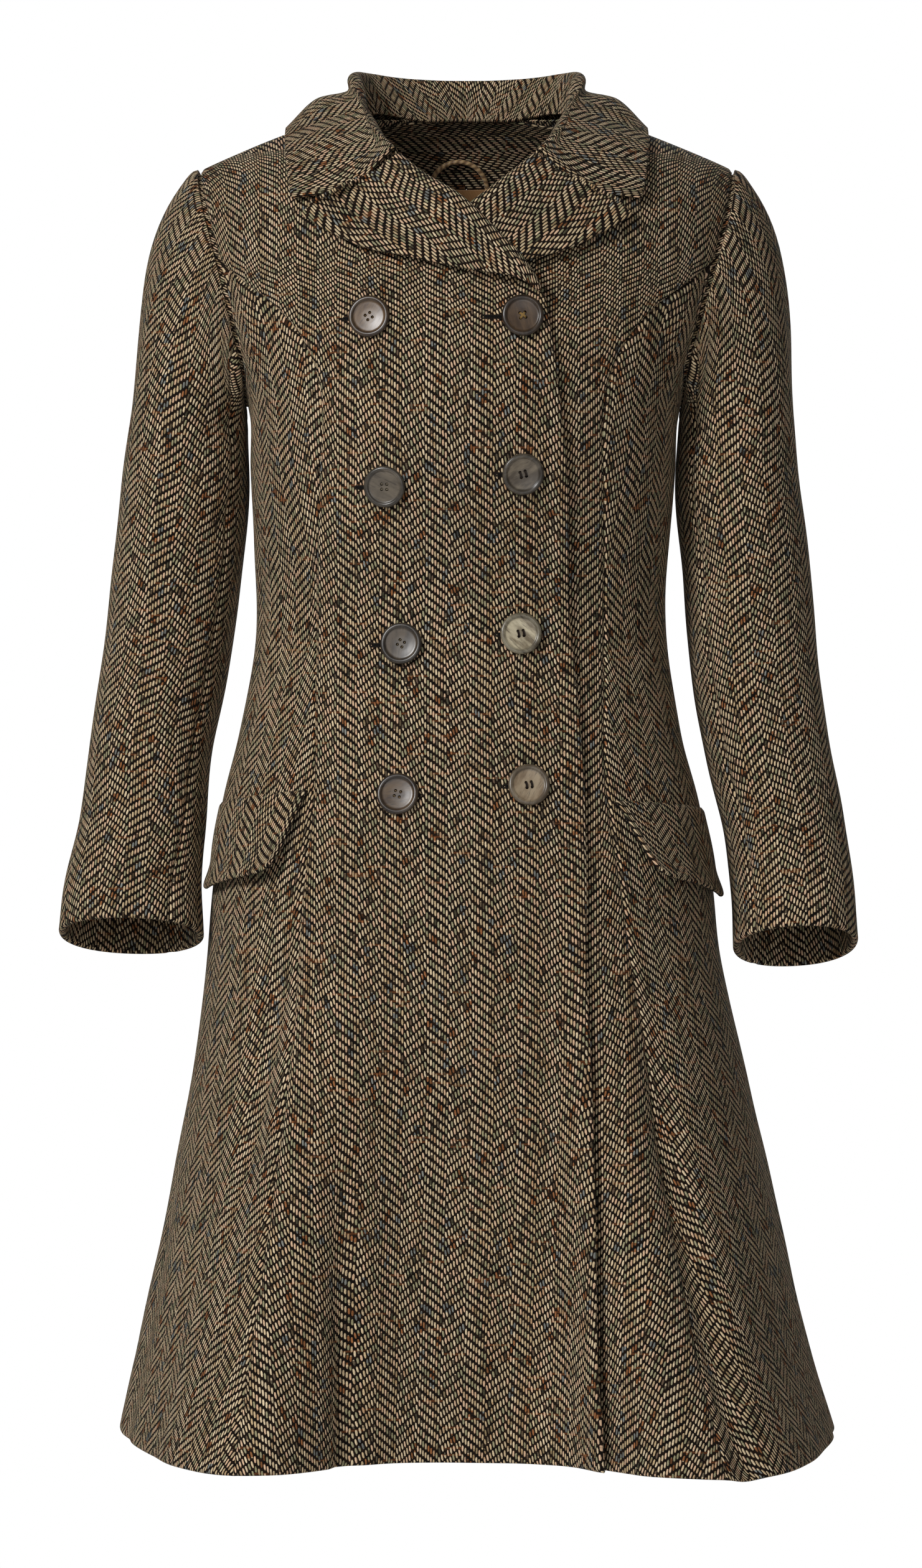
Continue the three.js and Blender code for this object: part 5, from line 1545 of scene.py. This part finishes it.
def button_mesh():
    """A sewn-through button facing +Z: a round raised rim, a dished middle and four holes."""
    section = [
        (0, 0.3),
        (6, 0.2),
        (10.2, 0.15),
        (12.6, 0.7),
        (13.8, 1.6),
        (14.2, 2.6),
        (14.05, 3.4),
        (13.5, 4.1),
        (12.7, 4.45),
        (11.8, 4.4),
        (11.1, 4.0),
        (10.6, 3.55),
        (10.0, 3.35),
        (8.4, 3.2),
        (5.4, 2.95),
        (4.2, 2.9),
        (2.4, 2.86),
        (0, 2.84),
    ]
    curve = catmull(section, 4)
    curve[:, 0] = np.maximum(curve[:, 0], 0)
    sides = 72
    mesh = bmesh.new()
    rings = []
    for r, z in curve[1:-1]:
        ring = [
            mesh.verts.new((r * math.cos(2 * math.pi * k / sides), r * math.sin(2 * math.pi * k / sides), z))
            for k in range(sides)
        ]
        rings.append(ring)
    low, high = mesh.verts.new((0, 0, curve[0][1])), mesh.verts.new((0, 0, curve[-1][1]))
    for k in range(sides):
        n = (k + 1) % sides
        mesh.faces.new((low, rings[0][n], rings[0][k]))
        mesh.faces.new((high, rings[-1][k], rings[-1][n]))
        for a, b in zip(rings, rings[1:]):
            mesh.faces.new((a[k], a[n], b[n], b[k]))
    bmesh.ops.recalc_face_normals(mesh, faces=mesh.faces)
    body = bpy.data.meshes.new("button_body")
    mesh.to_mesh(body)
    mesh.free()
    cutter = bmesh.new()
    for k in range(4):
        turn = math.pi * (0.25 + k / 2)
        reach = BUTTON_HOLES / math.sqrt(2)
        place = Matrix.Translation((math.cos(turn) * reach, math.sin(turn) * reach, 2))
        bmesh.ops.create_cone(
            cutter, cap_ends=True, segments=20, radius1=1.0, radius2=1.15, depth=8, matrix=place
        )
    holes = bpy.data.meshes.new("button_holes")
    cutter.to_mesh(holes)
    cutter.free()
    solid, tool = bpy.data.objects.new("b", body), bpy.data.objects.new("h", holes)
    for obj in (solid, tool):
        bpy.context.scene.collection.objects.link(obj)
    cut = solid.modifiers.new("cut", "BOOLEAN")
    cut.object, cut.operation, cut.solver = tool, "DIFFERENCE", "EXACT"
    bpy.context.view_layer.update()
    made = bpy.data.meshes.new_from_object(solid.evaluated_get(bpy.context.evaluated_depsgraph_get()))
    for obj in (solid, tool):
        bpy.data.objects.remove(obj)
    return made


BUTTON_HOLES = 3.6  # between the middles of two neighbouring holes
HORN = {
    # base, light, streak
    "right_1": ((74, 54, 38), (108, 84, 58), (34, 24, 18)),
    "left_1": ((62, 47, 35), (92, 72, 52), (30, 22, 17)),
    "right_2": ((84, 76, 66), (112, 102, 88), (48, 41, 35)),
    "left_2": ((80, 70, 58), (128, 116, 98), (44, 36, 30)),
    "right_3": ((60, 52, 44), (88, 76, 62), (30, 25, 21)),
    "left_3": ((118, 104, 80), (206, 194, 164), (44, 33, 23)),
    "right_4": ((62, 48, 38), (100, 80, 58), (30, 23, 18)),
    "left_4": ((128, 108, 84), (168, 150, 124), (66, 58, 52)),
}
THREADS = {
    "right_1": ((118, 96, 68), "dots"),
    "left_1": ((150, 120, 70), "cross"),
    "right_2": ((150, 138, 118), "dots"),
    "left_2": ((44, 36, 30), "pairs"),
    "right_3": ((132, 116, 92), "dots"),
    "left_3": ((40, 30, 24), "pairs"),
    "right_4": ((150, 128, 96), "dots"),
    "left_4": ((40, 32, 28), "pairs"),
}
# Where the buttonhole shows beside its button: from the button's middle to its end, in x
BUTTONHOLE_END = {
    "right_1": -18.5,
    "left_1": -28,
    "right_2": -20.5,
    "left_2": -18.5,
    "right_3": -22,
    "left_3": -17,
    "right_4": 15.5,
    "left_4": -17.5,
}


def cad_axes(node, x, z):
    """Where a CAD button sits: the middle of its back, and its axes."""
    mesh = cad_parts[node].data
    points = np.array([v.co for v in mesh.vertices]) * 1000
    bearing, z = at_x(np.float64(x), np.float64(z))
    normal = body_normal(bearing, z)
    middle = points.mean(0)
    heights = (points - middle) @ normal
    return middle + normal * heights.min(), normal


def cloth_height(x, z):
    """A point of the right front's face, and the way out of the cloth there."""
    bearing, z = at_x(x, z)
    base = body_point(bearing, z)
    normal = body_normal(bearing, z)
    lift = right_lift(bearing, z) + relief(base, BODY_CREASES)
    return base + normal * lift[..., None], normal


def make_buttons():
    mesh = button_mesh()
    for name, (x, z, turn) in BUTTONS.items():
        foot, normal = cad_axes("button_" + name, x, z)
        upright = Vector((0, 0, 1)).rotation_difference(Vector(normal)).to_matrix()
        spin = Matrix.Rotation(math.radians(turn), 3, "Z")
        axes = np.array(upright @ spin)
        own = mesh.copy()
        own.name = "button_" + name
        points = np.array([v.co for v in own.vertices]) @ axes.T + foot
        own.vertices.foreach_set("co", (points / 1000).astype(np.float32).ravel())
        own.polygons.foreach_set("use_smooth", np.ones(len(own.polygons), bool))
        own.update()
        base, light, streak = HORN[name]
        own.materials.clear()
        own.materials.append(make_horn("horn_" + name, base, light, streak, list(BUTTONS).index(name) + 1, foot))
        obj = bpy.data.objects.new("made_button_" + name, own)
        bpy.context.scene.collection.objects.link(obj)
        obj.data.set_sharp_from_angle(angle=math.radians(40))
        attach(obj, "root")
        replace(obj, "button_" + name)
        colour, way = THREADS[name]
        make_threads(name, foot, axes, colour, way)
        make_buttonhole(name, x, z)


def make_threads(name, foot, axes, colour, way):
    """Strands of thread over the button, or only down in its holes."""
    reach = BUTTON_HOLES / 2
    corners = [(-reach, -reach), (reach, -reach), (reach, reach), (-reach, reach)]
    parts = []
    pairs = {"pairs": [(0, 3), (1, 2)], "cross": [(0, 2), (1, 3)], "dots": [(0, 3), (1, 2)]}[way]
    for a, b in pairs:
        start, end = np.array(corners[a]), np.array(corners[b])
        over = (end - start) / np.linalg.norm(end - start)
        side = np.array([-over[1], over[0]])
        for k in (-1, 0, 1):
            shift = side * 0.42 * k
            t = np.linspace(0, 1, 17)[:, None]
            if way == "dots":
                line = [(*(p + shift), 2.3 - 1.6 * abs(w)) for p in (start, end) for w in (-0.9, 0, 0.9)]
                for j in (0, 3):
                    spot = np.array(line[j : j + 3])
                    spot[:, :2] += over * 0.35 * np.array([-1, 0, 1])[:, None]
                    parts.append(tube(catmull(spot, 5) @ axes.T + foot, 0.3, 8))
                continue
            flat = (start - over * 0.25) * (1 - t) + (end + over * 0.25) * t + shift
            rise = 3.42 + 0.35 * np.sin(math.pi * t[:, 0]) - 2.6 * np.abs(2 * t[:, 0] - 1) ** 7
            line = np.concatenate([flat, rise[:, None]], 1)
            parts.append(tube(line @ axes.T + foot, 0.34, 8))
    small_piece("thread_" + name, parts, make_thread("thread_" + name, colour))


def make_buttonhole(name, x, z):
    """The stitched edge of a buttonhole and its slit, a near-black tube of painted shade that its button mostly
    covers.
    """
    far = BUTTONHOLE_END[name]
    way = np.sign(far)
    spots_x = x + np.linspace(-5 * way, far - 1.4 * way, 40)
    line, normal = cloth_height(spots_x, np.full(40, z - 0.5))
    up = unit(np.cross(np.gradient(line, axis=0), normal)) * -way
    loop = []
    for edge in (1, -1):
        part = line + up * 0.95 * edge + normal * 0.15
        loop.append(part if edge == 1 else part[::-1])
        if edge == 1:
            turn = np.linspace(0, math.pi, 9)[1:-1, None]
            tip = line[-1] + up[-1] * 0.95 * np.cos(turn) + normal[-1] * 0.15
            loop.append(tip + unit(line[-1] - line[-2]) * 0.95 * np.sin(turn))
    path = np.concatenate(loop)
    run = np.concatenate([[0], np.cumsum(np.linalg.norm(np.diff(path, axis=0), axis=1))])
    at = np.linspace(0, run[-1], int(run[-1] / 0.3))
    path = np.stack([np.interp(at, run, path[:, k]) for k in range(3)], 1)
    stitches = 0.62 + 0.14 * np.sin(at * 2 * math.pi / 1.2)
    small_piece("buttonhole_" + name, [tube(path, stitches, 8)], dark_thread)
    # The slit is a near-black tube: painted shade in the opening of the buttonhole.
    inner = tube(line[::2] + normal[::2] * 0.25, np.full(20, 0.95), 8)
    small_piece("slit_" + name, [inner], slit_painted_shade)


# Stage, lights and camera


def make_stage():
    floor = bmesh.new()
    bmesh.ops.create_circle(floor, cap_ends=True, segments=96, radius=2.1)
    mesh = bpy.data.meshes.new("floor")
    floor.to_mesh(mesh)
    floor.free()
    mesh.transform(Matrix.Translation((0, 0, -1.46)))
    pale = bpy.data.materials.new("pale_floor")
    pale.use_nodes = True
    pale.node_tree.nodes["Principled BSDF"].inputs["Base Color"].default_value = (0.9, 0.9, 0.9, 1)
    pale.node_tree.nodes["Principled BSDF"].inputs["Roughness"].default_value = 0.9
    mesh.materials.append(pale)
    obj = bpy.data.objects.new("floor", mesh)
    bpy.context.scene.collection.objects.link(obj)
    world = bpy.data.worlds.new("studio")
    bpy.context.scene.world = world
    world.use_nodes = True
    nodes, links = world.node_tree.nodes, world.node_tree.links
    back = nodes["Background"]
    back.inputs["Color"].default_value = (1, 1, 1, 1)
    path = nodes.new("ShaderNodeLightPath")
    strength = nodes.new("ShaderNodeMapRange")
    strength.inputs["To Min"].default_value = WORLD_LIGHT
    strength.inputs["To Max"].default_value = 1.0
    links.new(path.outputs["Is Camera Ray"], strength.inputs["Value"])
    links.new(strength.outputs["Result"], back.inputs["Strength"])


WORLD_LIGHT = 0.15
LIGHTS = {
    # place, what it points at, width, height, watts
    "key": ((-2.0, -3.0, 1.25), (-0.05, 0, -0.45), 0.9, 0.9, 106),
    "front": ((0.4, -4.4, -0.5), (0, 0, -0.5), 2.2, 2.2, 30),
    "back": ((0.6, 3.2, 1.0), (0, 0, -0.4), 2.0, 1.6, 26),
}


def make_lights():
    for name, (place, target, width, height, watts) in LIGHTS.items():
        light = bpy.data.lights.new(name, "AREA")
        light.shape = "RECTANGLE"
        light.size, light.size_y = width, height
        light.energy = watts
        obj = bpy.data.objects.new(name, light)
        obj.location = place
        obj.rotation_euler = (Vector(target) - Vector(place)).to_track_quat("-Z", "Y").to_euler()
        bpy.context.scene.collection.objects.link(obj)


def make_camera():
    camera = bpy.data.cameras.new("camera")
    camera.sensor_width = 36
    camera.lens = 97.4
    camera.clip_start, camera.clip_end = 0.05, 50
    obj = bpy.data.objects.new("camera", camera)
    obj.location = (0, -3, -0.471)
    obj.rotation_euler = (math.radians(90), 0, 0)
    bpy.context.scene.collection.objects.link(obj)
    bpy.context.scene.camera = obj
    bpy.context.scene.view_settings.view_transform = "Standard"


make_camera()
make_fronts()
make_side_fronts()
make_backs()
make_sleeves()
make_armhole_seams()
make_lapel("lapel_right", False)
make_lapel("lapel_left", True)
make_collar()
make_flap("right")
make_flap("left")
make_inside()
make_loop()
make_buttons()
make_stage()
make_lights()
